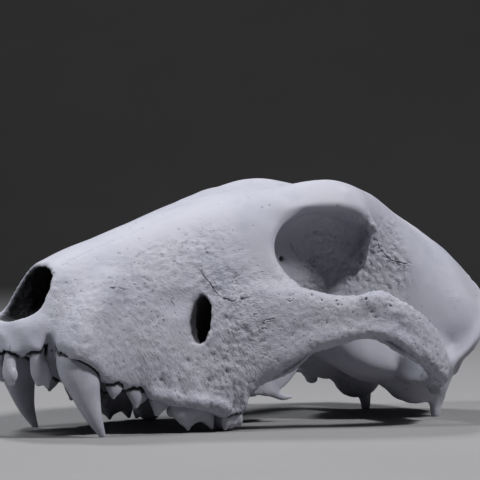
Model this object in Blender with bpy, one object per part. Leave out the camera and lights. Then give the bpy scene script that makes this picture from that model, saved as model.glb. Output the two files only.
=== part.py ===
"""Skull of a bull terrier: the cranium, grown as one bone, and its twenty upper teeth.

The skull is shaped as the animal's is: coronal sections of the face and of the
braincase are lofted, the cheek arches, crests and processes are swept or rounded on
with a soft blend, and the orbits, the nasal cavity, the other openings and the tooth
sockets are taken out. Metres, +Z up. The nose points along -X and the animal's left side
is -Y. The origin is under the middle of the skull, on the plane that it rests on.
"""
import math

import bmesh
import bpy
import numpy as np
import openvdb as vdb
from mathutils import Euler

# ---------------------------------------------------------------- driving dimensions, millimetres
SHIFT_X = 4.90          # the sections' frame, along X, to the part's origin
SKULL_CELL = 1.5        # lattice spacing for the cranium
TOOTH_CELL = 0.5        # lattice spacing for a tooth
SKULL_FACES = 4100      # triangles kept on the cranium, before its sockets
TOOTH_FACES = {"incisor": 104, "canine": 230, "premolar": 124, "molar": 160}
DEEP_GAP = 0.65         # between a root and its socket, at the root's tip
MOUTH_GAP = 1.15        # and at the socket's mouth
LEAN = 0.035            # rise of the brow towards +Y, as a real skull is never quite even
BAND = 9.0              # width of the signed distances either side of a surface

# Coronal sections, front to back: x, then the half outline as points (y, z) from the dorsal
# midline, over the nasal or brow ridge and down the side, round the tooth-bearing edge,
# and along the palate or the skull base to the ventral midline.
FACE = (
    (-106.3, ((0, 36.4), (3.0, 36.2), (5.8, 35.6), (7.7, 34.4), (8.6, 32.8), (8.6, 31.2), (8.2, 30.2), (7.0, 29.2), (4.6, 28.8), (2.3, 28.9), (0, 29.0))),
    (-103.5, ((0, 39.4), (4.6, 39.3), (8.8, 38.6), (11.3, 36.6), (12.2, 34.0), (12.5, 31.2), (12.1, 29.4), (10.6, 28.0), (7.6, 27.6), (3.9, 28.1), (0, 28.6))),
    (-99.5, ((0, 42.6), (5.8, 42.4), (10.3, 41.1), (13.4, 38.4), (15.0, 35.8), (15.7, 32.2), (15.7, 29.6), (14.4, 27.4), (11.0, 27.0), (5.7, 28.0), (0, 29.0))),
    (-95.5, ((0, 46.6), (5.8, 46.4), (10.6, 44.9), (14.0, 41.2), (16.5, 37.2), (18.1, 33.6), (19.2, 30.0), (17.8, 26.8), (13.4, 26.6), (7.1, 28.6), (0, 30.0))),
    (-92.0, ((0, 51.6), (5.6, 51.4), (11.2, 50.0), (15.1, 45.0), (18.4, 39.8), (22.8, 34.6), (25.6, 29.8), (25.0, 26.2), (16.0, 26.0), (8.3, 28.6), (0, 30.2))),
    (-89.0, ((0, 57.0), (5.8, 56.5), (11.0, 53.8), (15.6, 48.4), (20.4, 42.0), (25.0, 35.6), (27.4, 30.0), (27.0, 26.2), (18.0, 25.2), (9.4, 28.2), (0, 30.0))),
    (-84.5, ((0, 59.6), (6.2, 59.0), (11.8, 56.2), (17.0, 50.8), (21.8, 43.8), (26.0, 36.2), (28.0, 29.0), (27.6, 23.8), (19.6, 23.0), (10.2, 27.0), (0, 29.2))),
    (-78.0, ((0, 62.6), (6.6, 61.8), (12.6, 58.7), (18.0, 53.0), (21.8, 45.6), (24.8, 37.0), (26.2, 27.6), (25.4, 19.8), (19.6, 18.8), (10.4, 24.4), (0, 27.2))),
    (-66.0, ((0, 66.8), (7.0, 65.9), (13.4, 62.4), (18.8, 56.0), (22.2, 47.8), (24.2, 38.0), (25.0, 27.0), (23.9, 16.2), (19.8, 14.4), (11.4, 21.0), (0, 24.4))),
    (-53.0, ((0, 71.4), (8.0, 70.4), (15.2, 66.8), (21.0, 60.0), (24.6, 51.0), (26.8, 39.6), (28.2, 26.0), (28.6, 12.2), (24.6, 9.6), (13.6, 17.4), (0, 21.4))),
    (-41.0, ((0, 75.6), (9.2, 74.7), (17.4, 71.0), (23.6, 64.0), (27.4, 54.4), (30.0, 41.8), (31.4, 27.0), (32.0, 10.4), (27.6, 7.4), (15.0, 15.0), (0, 19.4))),
    (-33.0, ((0, 78.2), (10.0, 77.5), (19.1, 74.4), (25.6, 67.5), (29.5, 57.6), (32.3, 44.4), (33.4, 28.6), (33.4, 8.4), (28.2, 4.8), (15.0, 14.6), (0, 18.4))),
    (-27.6, ((0, 79.7), (10.4, 79.2), (20.0, 76.3), (26.7, 69.6), (30.7, 59.6), (33.5, 46.2), (34.2, 30.4), (33.4, 10.2), (28.2, 6.8), (15.0, 14.4), (0, 18.4))),
    (-22.0, ((0, 81.4), (10.8, 81.0), (21.0, 78.4), (28.0, 72.0), (31.8, 62.0), (34.6, 48.6), (33.8, 34.0), (29.4, 17.6), (23.6, 11.6), (12.6, 15.6), (0, 18.8))),
    (-15.0, ((0, 82.8), (11.2, 82.4), (21.8, 80.2), (29.0, 74.8), (33.2, 65.8), (36.4, 53.6), (34.4, 43.0), (26.0, 36.0), (17.0, 33.0), (8.0, 33.0), (0, 33.0))),
    (-6.0, ((0, 83.4), (11.4, 83.4), (22.0, 82.2), (29.0, 77.2), (33.4, 69.4), (37.0, 58.4), (36.2, 49.6), (26.0, 45.6), (16.0, 45.0), (8.0, 45.0), (0, 45.0))),
    (3.0, ((0, 82.0), (10.0, 82.0), (19.0, 80.8), (26.0, 77.0), (30.4, 70.6), (32.6, 62.6), (31.0, 54.0), (22.0, 51.0), (14.0, 50.0), (7.0, 50.0), (0, 50.0))),
)
VAULT = (
    (-34.0, ((0, 74.0), (8.0, 73.0), (14.0, 68.0), (17.0, 61.0), (17.0, 54.0), (16.0, 46.0), (15.0, 38.0), (13.0, 30.0), (10.0, 24.0), (6.0, 21.0), (0, 21.0))),
    (-20.0, ((0, 80.8), (10.0, 80.4), (18.0, 77.4), (20.0, 71.0), (19.5, 64.0), (18.5, 55.0), (17.5, 45.0), (15.5, 34.0), (12.0, 25.0), (7.0, 21.5), (0, 21.5))),
    (-12.0, ((0, 83.4), (11.2, 83.4), (21.8, 81.8), (28.4, 77.0), (27.0, 72.0), (20.0, 64.0), (17.8, 52.0), (15.6, 40.0), (12.4, 28.5), (7.4, 23.4), (0, 23.4))),
    (-3.0, ((0, 84.4), (11.2, 84.8), (22.4, 84.6), (29.8, 79.6), (29.2, 76.4), (19.6, 70.6), (17.2, 57.0), (15.4, 43.0), (12.4, 30.0), (7.6, 24.6), (0, 24.8))),
    (8.0, ((0, 84.4), (11.0, 85.8), (22.6, 87.3), (30.2, 81.6), (30.0, 77.6), (20.0, 74.0), (17.0, 60.0), (15.4, 46.0), (12.8, 32.0), (8.0, 25.6), (0, 25.4))),
    (18.0, ((0, 84.0), (10.8, 85.6), (22.4, 87.9), (30.6, 81.6), (30.6, 77.0), (20.4, 73.6), (17.2, 61.0), (15.8, 47.4), (13.4, 33.0), (8.4, 25.8), (0, 25.2))),
    (27.0, ((0, 83.4), (10.0, 84.8), (20.8, 86.4), (29.8, 79.4), (30.2, 73.6), (20.0, 68.8), (17.8, 60.0), (17.2, 45.0), (19.8, 24.6), (11.5, 19.4), (0, 22.4))),
    (34.0, ((0, 83.2), (8.8, 84.4), (18.0, 84.6), (24.2, 78.4), (23.8, 71.4), (19.6, 63.0), (18.8, 51.0), (20.6, 36.0), (24.0, 20.0), (13.4, 15.2), (0, 19.0))),
    (42.0, ((0, 82.8), (7.4, 83.2), (14.8, 82.4), (20.0, 76.8), (21.2, 68.4), (21.4, 57.4), (22.6, 46.0), (24.8, 31.5), (27.4, 17.8), (15.0, 12.9), (0, 17.0))),
    (54.0, ((0, 79.0), (5.2, 78.4), (12.4, 75.8), (19.2, 69.2), (23.8, 59.8), (26.4, 48.6), (27.8, 37.6), (28.6, 26.4), (23.4, 15.4), (10.6, 15.8), (0, 16.8))),
    (66.0, ((0, 72.4), (4.8, 71.6), (11.8, 68.4), (19.0, 62.0), (25.2, 52.8), (29.0, 43.2), (30.0, 33.2), (27.0, 24.4), (18.8, 18.6), (9.4, 16.8), (0, 16.4))),
    (78.0, ((0, 66.4), (5.2, 65.6), (12.0, 62.4), (19.0, 56.8), (25.4, 47.4), (29.2, 39.4), (30.0, 32.0), (27.4, 25.0), (19.8, 19.6), (9.8, 17.0), (0, 16.4))),
    (86.0, ((0, 60.8), (5.0, 60.0), (10.6, 57.0), (16.4, 52.0), (21.4, 44.4), (24.4, 38.4), (24.8, 32.6), (22.2, 27.0), (16.4, 22.2), (8.4, 19.6), (0, 19.0))),
)


def hermite(xs, values, at):
    """Smooth curve through values (one row per x), read at the places in at."""
    xs, values, at = np.asarray(xs, float), np.asarray(values, float), np.asarray(at, float)
    slope = np.empty_like(values)
    step = np.diff(xs)[:, None]
    rise = np.diff(values, axis=0) / step
    slope[1:-1] = (rise[:-1] * step[1:] + rise[1:] * step[:-1]) / (step[1:] + step[:-1])
    slope[0], slope[-1] = rise[0], rise[-1]
    i = np.clip(np.searchsorted(xs, at, side="right") - 1, 0, len(xs) - 2)
    w = (xs[i + 1] - xs[i])[:, None]
    t = (at - xs[i])[:, None] / w
    return ((1 + 2 * t) * (1 - t) ** 2 * values[i] + t * (1 - t) ** 2 * w * slope[i]
            + t * t * (3 - 2 * t) * values[i + 1] + t * t * (t - 1) * w * slope[i + 1])


def smooth_line(points, n):
    """n samples of a smooth open curve through points, which may carry extra columns such as radii."""
    p = np.asarray(points, float)
    length = np.r_[0, np.cumsum(np.linalg.norm(np.diff(p[:, :3], axis=0), axis=1) ** 0.5)]
    return hermite(length, p, np.linspace(0, length[-1], n))


def loft(rings, round_start=0.0, round_end=0.0, dome_at=(25, 45, 62, 76)):
    """Closed mesh through rings of points, with a domed cap of the stated depth at each end."""
    rings = [np.asarray(r, float) for r in rings]

    def dome(ring, inner, depth):
        centre = ring.mean(0)
        out = centre - inner.mean(0)
        out = out / (np.linalg.norm(out) + 1e-9)
        made = []
        for a in dome_at if depth > 0 else ():
            a = math.radians(a)
            made.append(centre + (ring - centre) * math.cos(a) + out * depth * math.sin(a))
        return made, centre + out * depth

    first, tip0 = dome(rings[0], rings[1], round_start)
    last, tip1 = dome(rings[-1], rings[-2], round_end)
    rings = first[::-1] + rings + last
    n = len(rings[0])
    points = np.concatenate(rings + [tip0[None], tip1[None]])
    j = np.arange(n)
    faces = []
    for r in range(len(rings) - 1):
        a, b = r * n + j, r * n + (j + 1) % n
        c, d = a + n, b + n
        faces += [np.stack([a, b, d], 1), np.stack([a, d, c], 1)]
    low, high, base = len(rings) * n, len(rings) * n + 1, (len(rings) - 1) * n
    faces.append(np.stack([(j + 1) % n, j, np.full(n, low)], 1))
    faces.append(np.stack([base + j, base + (j + 1) % n, np.full(n, high)], 1))
    return points, np.concatenate(faces)


def outline_ring(x, half, n):
    """Closed ring at x from a half outline, mirrored, with n points on each control span."""
    half = np.asarray(half, float)
    loop = np.concatenate([half, half[-2:0:-1] * (-1, 1)])
    k = len(loop)
    t = np.arange(k * n) / n
    i = t.astype(int)
    f = (t - i)[:, None]
    p0, p1, p2, p3 = (loop[(i + o) % k] for o in (-1, 0, 1, 2))
    yz = 0.5 * (2 * p1 + (p2 - p0) * f + (2 * p0 - 5 * p1 + 4 * p2 - p3) * f ** 2 + (3 * p1 - p0 - 3 * p2 + p3) * f ** 3)
    return np.column_stack([np.full(len(yz), x), yz])


def tube(path, up=(0, 0, 1), n=20, steps=None, square=2.0, caps=(None, None), dome_at=(25, 45, 62, 76)):
    """Sweep of a superellipse: path rows are x, y, z, half-size along up, half-size across."""
    line = smooth_line(path, steps or 6 * (len(path) - 1) + 1)
    p = line[:, :3]
    tangent = np.gradient(p, axis=0)
    tangent /= np.linalg.norm(tangent, axis=1)[:, None]
    up = np.asarray(up, float)
    if up.ndim == 2:
        s = np.linspace(0, 1, len(up))
        up = np.column_stack([np.interp(np.linspace(0, 1, len(p)), s, up[:, c]) for c in range(3)])
    u = up - (up * tangent).sum(1)[:, None] * tangent
    u /= np.linalg.norm(u, axis=1)[:, None]
    v = np.cross(tangent, u)
    a = np.arange(n) * 2 * math.pi / n
    ca, sa = np.sign(np.cos(a)) * abs(np.cos(a)) ** (2 / square), np.sign(np.sin(a)) * abs(np.sin(a)) ** (2 / square)
    rings = [p[i] + np.outer(ca * line[i, 3], u[i]) + np.outer(sa * line[i, 4], v[i]) for i in range(len(p))]
    start = min(line[0, 3:5]) if caps[0] is None else caps[0]
    end = min(line[-1, 3:5]) if caps[1] is None else caps[1]
    return loft(rings, start, end, dome_at)


def ball(centre, radii, turn=(0, 0, 0), n=28):
    """Ellipsoid, turned by Euler angles in degrees about X, Y and Z."""
    rot = np.array(Euler([math.radians(t) for t in turn]).to_matrix())
    a = np.arange(n) * 2 * math.pi / n
    rings = []
    for e in np.linspace(-90, 90, n // 2 + 1)[1:-1]:
        e = math.radians(e)
        ring = np.column_stack([np.full(n, math.sin(e)), math.cos(e) * np.cos(a), math.cos(e) * np.sin(a)])
        rings.append((ring * radii) @ rot.T + centre)
    points, faces = loft(rings)
    points[-2] = np.array([-radii[0], 0, 0]) @ rot.T + centre
    points[-1] = np.array([radii[0], 0, 0]) @ rot.T + centre
    return points, faces


def lean(points):
    """The slight unevenness of a real skull: towards +Y the brow sits a little higher."""
    points = np.array(points)
    t = np.clip((points[:, 2] - 30) / 50, 0, 1)
    points[:, 2] += LEAN * points[:, 1] * t * t * (3 - 2 * t)
    return points


class Field:
    """Signed distance, in millimetres, on a lattice. A halved one covers y > 0, and its mirror is the rest."""

    def __init__(self, low, high, h, halved=False):
        self.h, self.halved, self.shift = h, halved, np.array((0, h / 2 if halved else 0, 0))
        self.i0 = np.floor(np.asarray(low, float) / h).astype(int)
        if halved:
            self.i0[1] = 0
        self.shape = tuple(np.ceil(np.asarray(high, float) / h).astype(int) - self.i0)
        self.d = np.full(self.shape, BAND, np.float32)

    def distance(self, shape):
        points, faces = shape
        moved = (points - self.shift).astype(np.float32)
        return vdb.FloatGrid.createLevelSetFromPolygons(
            moved, triangles=faces.astype(np.uint32),
            transform=vdb.createLinearTransform(voxelSize=self.h), halfWidth=BAND / self.h)

    def block(self, shape):
        """The part of the lattice that this shape's band reaches, and its distances there."""
        points = shape[0]
        low = np.floor((points.min(0) - BAND) / self.h).astype(int) - self.i0
        high = np.ceil((points.max(0) + BAND) / self.h).astype(int) - self.i0
        low, high = np.maximum(low, 0), np.minimum(high, self.shape)
        where = tuple(slice(a, b) for a, b in zip(low, high))
        got = np.empty(tuple(high - low), np.float32)
        self.distance(shape).copyToArray(got, ijk=tuple(int(x) for x in low + self.i0))
        return where, got

    def add(self, shape, blend=0.0):
        where, b = self.block(shape)
        a = self.d[where]
        if blend:
            k = np.maximum(blend - abs(a - b), 0)
            joined = np.minimum(a, b) - k * k / (4 * blend)
            self.d[where] = np.where(b < BAND - 1e-3, joined, a)
        else:
            self.d[where] = np.minimum(a, b)

    def cut(self, shape, blend=0.0):
        where, b = self.block(shape)
        a, b = self.d[where], -b
        if blend:
            k = np.maximum(blend - abs(a - b), 0)
            joined = np.maximum(a, b) + k * k / (4 * blend)
            self.d[where] = np.where(b > -BAND + 1e-3, joined, a)
        else:
            self.d[where] = np.maximum(a, b)

    def surface(self, adaptivity=0.0):
        """(points, faces) of the zero surface."""
        whole = np.concatenate([self.d[:, ::-1], self.d], axis=1) if self.halved else self.d
        whole = np.ascontiguousarray(np.clip(whole, -BAND, BAND))
        grid = vdb.FloatGrid()
        grid.background = BAND
        low = self.i0 - (0, self.shape[1], 0) if self.halved else self.i0
        grid.copyFromArray(whole, ijk=tuple(int(i) for i in low))
        grid.transform = vdb.createLinearTransform(voxelSize=self.h)
        points, tris, quads = grid.convertToPolygons(0.0, adaptivity)
        return points + self.shift, [tuple(f) for f in quads.tolist() + tris.tolist()]


def hull(table, step, round_start, round_end, per_span=6):
    """The closed loft through a table of coronal sections."""
    xs = [x for x, _ in table]
    rows = np.array([half for _, half in table], float).reshape(len(xs), -1)
    at = np.linspace(xs[0], xs[-1], int((xs[-1] - xs[0]) / step) + 2)
    rings = [outline_ring(x, row.reshape(-1, 2), per_span) for x, row in zip(at, hermite(xs, rows, at))]
    return loft(rings, round_start, round_end)


X, Z = (1, 0, 0), (0, 0, 1)

# Everything added to the hull, on the side y > 0: (shape, radius of the blend into what is there).
def outgrowths():
    yield tube(((-36, 26.5, 28.6, 15.5, 3.5), (-27, 31.0, 30.6, 15.6, 4.0), (-18, 36.2, 33.9, 15.4, 4.4), (-9, 41.6, 37.4, 12.0, 3.9),
                (0, 46.4, 38.0, 9.2, 3.3), (10, 50.8, 39.1, 7.7, 3.0), (18, 53.4, 38.3, 8.3, 3.0),
                (27.0, 54.8, 33.2, 8.4, 3.2), (33.0, 54.4, 29.8, 7.5, 3.5), (39.0, 52.8, 25.2, 6.3, 3.8),
                (44.0, 49.2, 21.6, 5.8, 4.1), (48.5, 42.0, 19.6, 5.0, 4.4), (53, 31.0, 18.8, 4.8, 4.8)), n=28, square=2.4), 7.0   # zygomatic arch
    yield ball((14.5, 52.4, 45.4), (6.5, 2.3, 3.4)), 2.5                                        # frontal process of the cheek bone
    yield tube(((45.2, 45.4, 17.6, 3.6, 2.8), (46.8, 41, 16.4, 5.0, 3.2), (48.6, 35, 16.2, 6.0, 4.0), (51, 26, 18.5, 7, 5.5)), up=X), 2.5      # articular bar
    yield tube(((46.8, 43, 20.6, 4.2, 3.6), (49.6, 36, 21.2, 6.2, 4.2), (52.4, 30, 22.6, 9.0, 5.0), (55, 24, 25, 12, 7)), up=X), 3.5       # root of the arch
    yield tube(((51.6, 38.5, 15.4, 2.0, 5.0), (52.2, 38, 10.8, 1.4, 3.4)), up=X), 1.6                  # process behind the jaw joint
    yield tube(((19, 25, 79.8, 3.4, 6.0), (24.8, 29.0, 75.6, 2.6, 3.6), (28.2, 31.2, 72.0, 1.3, 1.6), (29.6, 31.9, 70.2, 0.5, 0.6)), up=X, steps=26), 2.0   # postorbital process
    yield tube(((28.6, 31.0, 71.4, 0.8, 1.3), (30.4, 26.6, 67.8, 1.2, 2.2), (32.0, 22.0, 63.4, 1.4, 2.6), (32.8, 19.6, 59.0, 1.2, 2.0)), up=X), 3.2     # crest between orbit and temple
    yield tube(((-29, 13.4, 21.0, 9.6, 2.4), (-21, 12.6, 20.4, 9.6, 1.9), (-13, 11.8, 20.2, 10.0, 1.6), (-6, 11.1, 20.6, 10.4, 1.4), (0, 10.7, 21.8, 10.2, 1.3),
                (5, 10.5, 24.2, 8.4, 1.3), (10, 10.4, 27.4, 5.6, 1.3), (15, 10.4, 29.8, 3.4, 1.4)), n=24, square=2.6), 2.2       # pterygoid plate
    yield tube(((-4.0, 10.9, 12.2, 2.4, 1.2), (0.4, 10.6, 10.6, 1.7, 1.0), (4.4, 10.4, 9.0, 1.2, 0.9), (8.0, 10.3, 9.0, 0.6, 0.6)), n=16), 1.2       # its hook
    yield tube(((-20, 19, 18, 3.6, 3.6), (-17.5, 19.4, 26, 4.6, 4.4), (-14.5, 19.8, 35, 4.8, 4.6), (-11.5, 19.8, 43, 4.0, 4.0), (-9.5, 19.4, 49, 2.8, 3.0)), up=X), 5.0     # corner behind the maxilla
    yield tube(((49.5, 14.8, 15.4, 5.4, 4.4), (55, 16.6, 13.8, 7.8, 6.8), (60.5, 18.8, 13.0, 8.0, 7.8), (66, 20.6, 13.8, 6.6, 6.6)), square=2.2, caps=(4.0, 4.0)), 3.0                             # tympanic bulla
    yield ball((79.5, 11.4, 21.4), (6.6, 5.4, 8.0), (0, -12, -20)), 2.5                          # occipital condyle
    yield tube(((69.0, 25.4, 24, 5.5, 3.2), (66.6, 24.6, 15, 4.0, 2.3), (65.4, 23.4, 10, 3.7, 1.9), (65.6, 22.4, 7.0, 3.7, 1.8), (65.9, 21.7, 4.2, 2.5, 1.5), (66.0, 21.3, 0.2, 1.6, 1.3)), up=X, square=2.6, steps=40, caps=(None, 1.4)), 1.6    # paracondylar process
    yield ball((63.0, 28.6, 18.4), (4.4, 3.6, 6.2), (0, 0, -20)), 2.5                              # mastoid process
    yield tube(((50, 0, 79.0, 1.8, 1.8), (62, 0, 74.2, 1.8, 1.6), (78, 0, 65.0, 2.2, 1.6), (89, 0, 56.4, 2.8, 1.8), (95.8, 0, 49.6, 2.4, 2.2))), 3.0     # sagittal crest
    yield tube(((95.0, 0, 49.8, 4.4, 1.9), (91.8, 10, 46.0, 4.0, 1.8), (86.8, 20, 40.6, 4.0, 1.7), (80.4, 27.2, 34.0, 3.9, 1.6),
                (72.0, 30.2, 26.6, 3.4, 1.6), (64.0, 30.2, 20.4, 2.8, 1.8)), up=((1, 0, 0.6), (0.8, 0.6, 0.4), (0.5, 0.9, 0)), n=20), 4.0    # nuchal crest
    yield ball((84, 0, 42), (10.0, 19, 12)), 6.0                                                  # occipital squama
    yield tube(((-88.4, 21.8, 28.6, 6.8, 5.3), (-86.2, 21.4, 33, 6.4, 5.2), (-81.6, 20.2, 40, 5.6, 4.8), (-73, 17.0, 50, 4.4, 3.8)), up=X, caps=(0.5, None)), 4.5     # bulge over the canine's root
    yield tube(((-90.8, 10.9, 38.0, 4.0, 3.4), (-95.8, 12.4, 32.6, 4.0, 3.6), (-97.4, 12.8, 29.4, 3.8, 3.4)), up=X, caps=(None, 0.5)), 1.6     # collars round the incisors
    yield tube(((-99.6, 7.2, 34.6, 3.0, 2.8), (-103.2, 8.1, 30.8, 3.6, 3.4), (-104.4, 8.5, 27.9, 3.7, 3.5)), up=X, caps=(None, 0.6)), 1.5
    yield tube(((-101.4, 3.0, 34.0, 2.8, 2.6), (-104.9, 3.3, 30.2, 3.5, 3.0), (-106.2, 3.4, 27.6, 3.6, 3.0)), up=X, caps=(None, 0.6)), 1.5
    yield tube(((-60, 25.6, 13.6, 1.5, 1.3), (-53, 28.0, 12.0, 1.7, 1.5), (-46, 30.2, 10.8, 1.8, 1.5), (-40, 31.8, 9.8, 1.6, 1.4), (-35, 33.0, 8.4, 1.2, 1.2))), 3.0      # lip over the cheek teeth


# Hollows in it: the open dips, and then those that go deep.
def dips():
    yield ball((-52.6, 31.3, 46.2), (9.0, 5.5, 6.2), (0, 0, 17)), 3.0                              # in front of the canal below the eye
    yield ball((-99.0, 18.0, 35.0), (3.4, 2.4, 4.6), (0, 0, 35)), 2.0                              # above the corner incisor
    yield ball((-97.2, 19.8, 26.2), (2.9, 6.6, 9.4), (0, 0, 38)), 1.0                            # gap for the lower canine
    yield ball((45.4, 40, 11.0), (4.4, 8.4, 4.0), (0, 0, -8)), 1.2                                # jaw joint socket


def hollows():
    yield tube(((-115, 0, 45.4, 6.8, 9.6), (-104, 0, 46.2, 7.8, 11.9), (-97, 0, 46.7, 9.0, 12.1), (-92, 0, 47.0, 9.5, 11.0), (-87, 0, 47.0, 9.6, 9.8), (-78, 0, 46.6, 11.6, 10.0), (-58, 0, 47, 11, 9)),
               n=32, square=3.0, caps=(None, 6)), 0.8    # nasal cavity
    yield tube(((-53.4, 36.0, 39.9, 8.6, 3.0), (-44.6, 29.9, 39.0, 8.5, 2.9), (-35, 25.4, 37.6, 7.2, 2.7), (-12, 23.6, 35, 6.0, 3.0))), 1.4   # infraorbital canal
    yield tube(((-40, 0, 24.4, 2.6, 7.5), (-26, 0, 22.6, 4.6, 7.8), (-14, 0, 20.5, 5.6, 8.0), (4, 0, 20.0, 4.6, 7.4))), 2.0            # choanae
    yield ball((90, 0, 27.5), (17, 9.2, 7.6)), 1.5                                                # foramen magnum
    yield tube(((56.4, 37, 19.0, 2.6, 2.2), (58.5, 24, 17.5, 2.4, 2.2))), 1.2                       # ear opening


# Upper teeth of the side y > 0. Root: rows x, y, z, half-size along x, half-size across,
# from its tip to just past the neck. Crown: shapes with the radius of their blend.
def teeth():
    yield "incisor_1", ((-100.6, 2.8, 35.0, 0.9, 0.8), (-103.2, 3.0, 33.0, 1.5, 1.3), (-105.6, 3.2, 29.8, 2.0, 1.7), (-106.6, 3.4, 27.0, 2.1, 2.0)), (
        (tube(((-105.4, 3.2, 30.2, 1.9, 1.7), (-107.0, 3.3, 25.8, 2.1, 2.1), (-107.4, 3.2, 22.2, 1.8, 2.3), (-107.2, 3.2, 19.2, 0.7, 1.8)), up=X), 1.0),
        (ball((-107.2, 1.6, 21.6), (1.2, 0.8, 1.8)), 0.8), (ball((-107.1, 5.0, 21.8), (1.2, 0.8, 1.8)), 0.8))
    yield "incisor_2", ((-97.8, 6.6, 35.4, 0.9, 0.8), (-100.6, 7.3, 33.2, 1.6, 1.3), (-103.4, 8.0, 30.0, 2.1, 1.7), (-104.8, 8.4, 27.0, 2.3, 2.0)), (
        (tube(((-103.2, 7.9, 30.4, 2.0, 1.7), (-105.2, 8.6, 26.0, 2.2, 2.1), (-105.8, 8.9, 21.4, 2.1, 2.8), (-105.2, 8.9, 18.0, 0.8, 2.3)), up=X), 1.0),
        (ball((-105.7, 7.1, 20.8), (1.3, 0.7, 2.0)), 0.8), (ball((-105.2, 11.2, 21.0), (1.3, 0.8, 2.0)), 0.8))
    yield "incisor_3", ((-91.4, 11.9, 37.6, 1.1, 1.0), (-94.0, 12.2, 34.8, 1.9, 1.5), (-96.4, 12.6, 31.4, 2.2, 1.9), (-97.6, 12.9, 28.2, 2.4, 2.1)), (
        (tube(((-96.6, 12.6, 31.0, 2.1, 1.9), (-97.6, 12.9, 27.8, 2.5, 2.2), (-97.0, 13.2, 24.2, 2.9, 2.4), (-96.2, 13.4, 20.8, 2.6, 2.1), (-95.8, 13.5, 18.6, 1.6, 1.3)), up=X), 1.0),
        (tube(((-98.2, 12.5, 25.4, 1.5, 1.6), (-97.8, 12.6, 21.4, 1.7, 1.7), (-97.0, 12.9, 18.0, 1.0, 1.0)), up=X), 0.6),
        (tube(((-95.6, 13.8, 24.4, 1.7, 1.7), (-94.6, 14.2, 20.6, 1.8, 1.7), (-94.4, 14.2, 17.2, 0.9, 0.9)), up=X), 0.6))
    yield "canine", ((-73.6, 14.4, 49.0, 2.2, 1.7), (-79.2, 16.0, 44.6, 4.0, 2.5), (-84.0, 18.0, 38.0, 5.3, 3.4), (-86.6, 20.0, 30.6, 6.4, 4.3), (-87.2, 21.4, 24.0, 6.9, 4.7)), (
        (tube(((-84.0, 18.0, 38.0, 5.2, 3.4), (-86.6, 20.0, 30.6, 6.5, 4.3), (-87.2, 21.4, 24.0, 7.1, 4.9), (-85.2, 22.4, 17.3, 5.9, 4.3), (-84.0, 22.9, 13.0, 4.7, 3.5),
               (-82.1, 23.4, 7.4, 3.1, 2.5), (-80.0, 23.6, 3.1, 1.9, 1.5), (-78.2, 23.5, -0.2, 0.9, 0.8)), up=X, n=28, steps=50, caps=(None, 0.8)), 0.0),)
    yield "premolar_1", ((-71.6, 19.8, 27.0, 1.1, 1.0), (-72.4, 20.6, 22.0, 1.8, 1.4), (-73.0, 21.4, 17.6, 2.4, 1.7)), (
        (tube(((-72.6, 20.8, 21.0, 1.9, 1.5), (-73.0, 21.6, 17.2, 3.3, 2.1), (-73.3, 22.0, 15.0, 2.6, 1.6), (-73.6, 22.1, 13.0, 0.8, 0.7)), up=X), 0.0),)
    yield "premolar_2", ((-62.8, 19.4, 26.0, 2.2, 1.1), (-63.4, 20.4, 20.0, 3.4, 1.6), (-63.8, 21.3, 15.0, 4.2, 1.9)), (
        (tube(((-63.5, 20.6, 19.5, 3.3, 1.7), (-63.9, 21.4, 14.8, 4.3, 2.2), (-64.2, 21.8, 12.4, 3.4, 1.8), (-64.8, 21.9, 9.6, 1.0, 0.9)), up=X), 0.0),
        (ball((-61.5, 21.6, 12.6), (1.2, 1.1, 1.4)), 1.2))
    yield "premolar_3", ((-55.2, 20.9, 24.0, 2.0, 1.3), (-55.8, 22.0, 17.0, 3.0, 1.8), (-56.3, 23.0, 12.4, 3.5, 2.1)), (
        (tube(((-56.0, 22.2, 16.6, 3.1, 1.9), (-56.4, 23.2, 12.2, 3.6, 2.4), (-56.7, 23.6, 9.8, 3.1, 2.1), (-57.3, 23.7, 7.0, 1.2, 1.1)), up=X), 0.0),
        (ball((-54.4, 23.5, 9.8), (1.3, 1.2, 1.5)), 1.2))
    yield "premolar_4", ((-43.8, 22.4, 24.0, 4.8, 1.8), (-44.6, 24.0, 15.0, 7.2, 2.5), (-45.0, 25.4, 9.0, 8.0, 3.1)), (
        (tube(((-44.8, 24.6, 13.0, 7.4, 2.7), (-44.9, 25.7, 9.4, 8.3, 3.4), (-44.7, 26.2, 7.0, 7.8, 3.0), (-44.4, 26.3, 5.2, 6.4, 2.2)), up=X, n=28), 0.0),
        (tube(((-47.0, 26.0, 7.6, 3.8, 2.8), (-46.8, 26.3, 3.6, 2.3, 1.8), (-46.6, 26.3, 1.4, 0.8, 0.7)), up=X), 1.4),
        (tube(((-40.0, 26.6, 6.9, 3.0, 2.0), (-38.6, 27.2, 3.8, 2.2, 1.4), (-37.8, 27.5, 1.5, 0.8, 0.7)), up=X), 1.4),
        (ball((-51.0, 22.9, 7.4), (1.8, 1.8, 2.0)), 1.4))
    yield "molar_1", ((-30.4, 23.4, 19.0, 3.0, 3.4), (-30.6, 24.2, 10.0, 3.9, 4.8), (-30.8, 25.0, 5.6, 4.6, 6.6)), (
        (tube(((-30.6, 24.3, 8.8, 3.9, 4.9), (-30.8, 25.0, 5.6, 4.6, 6.6), (-30.8, 25.1, 4.0, 4.1, 6.0)), up=X, n=28), 0.0),
        (tube(((-32.8, 29.0, 5.8, 2.5, 2.4), (-33.2, 29.2, 2.8, 1.7, 1.6), (-33.4, 29.2, 1.0, 0.8, 0.7)), up=X), 1.0),
        (tube(((-28.0, 28.8, 5.2, 1.9, 1.9), (-27.4, 29.0, 3.2, 1.3, 1.3), (-27.1, 29.0, 1.8, 0.6, 0.6)), up=X), 1.0),
        (tube(((-31.0, 21.2, 5.4, 2.6, 2.5), (-31.2, 21.0, 2.8, 1.1, 1.1)), up=X), 1.2))
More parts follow.
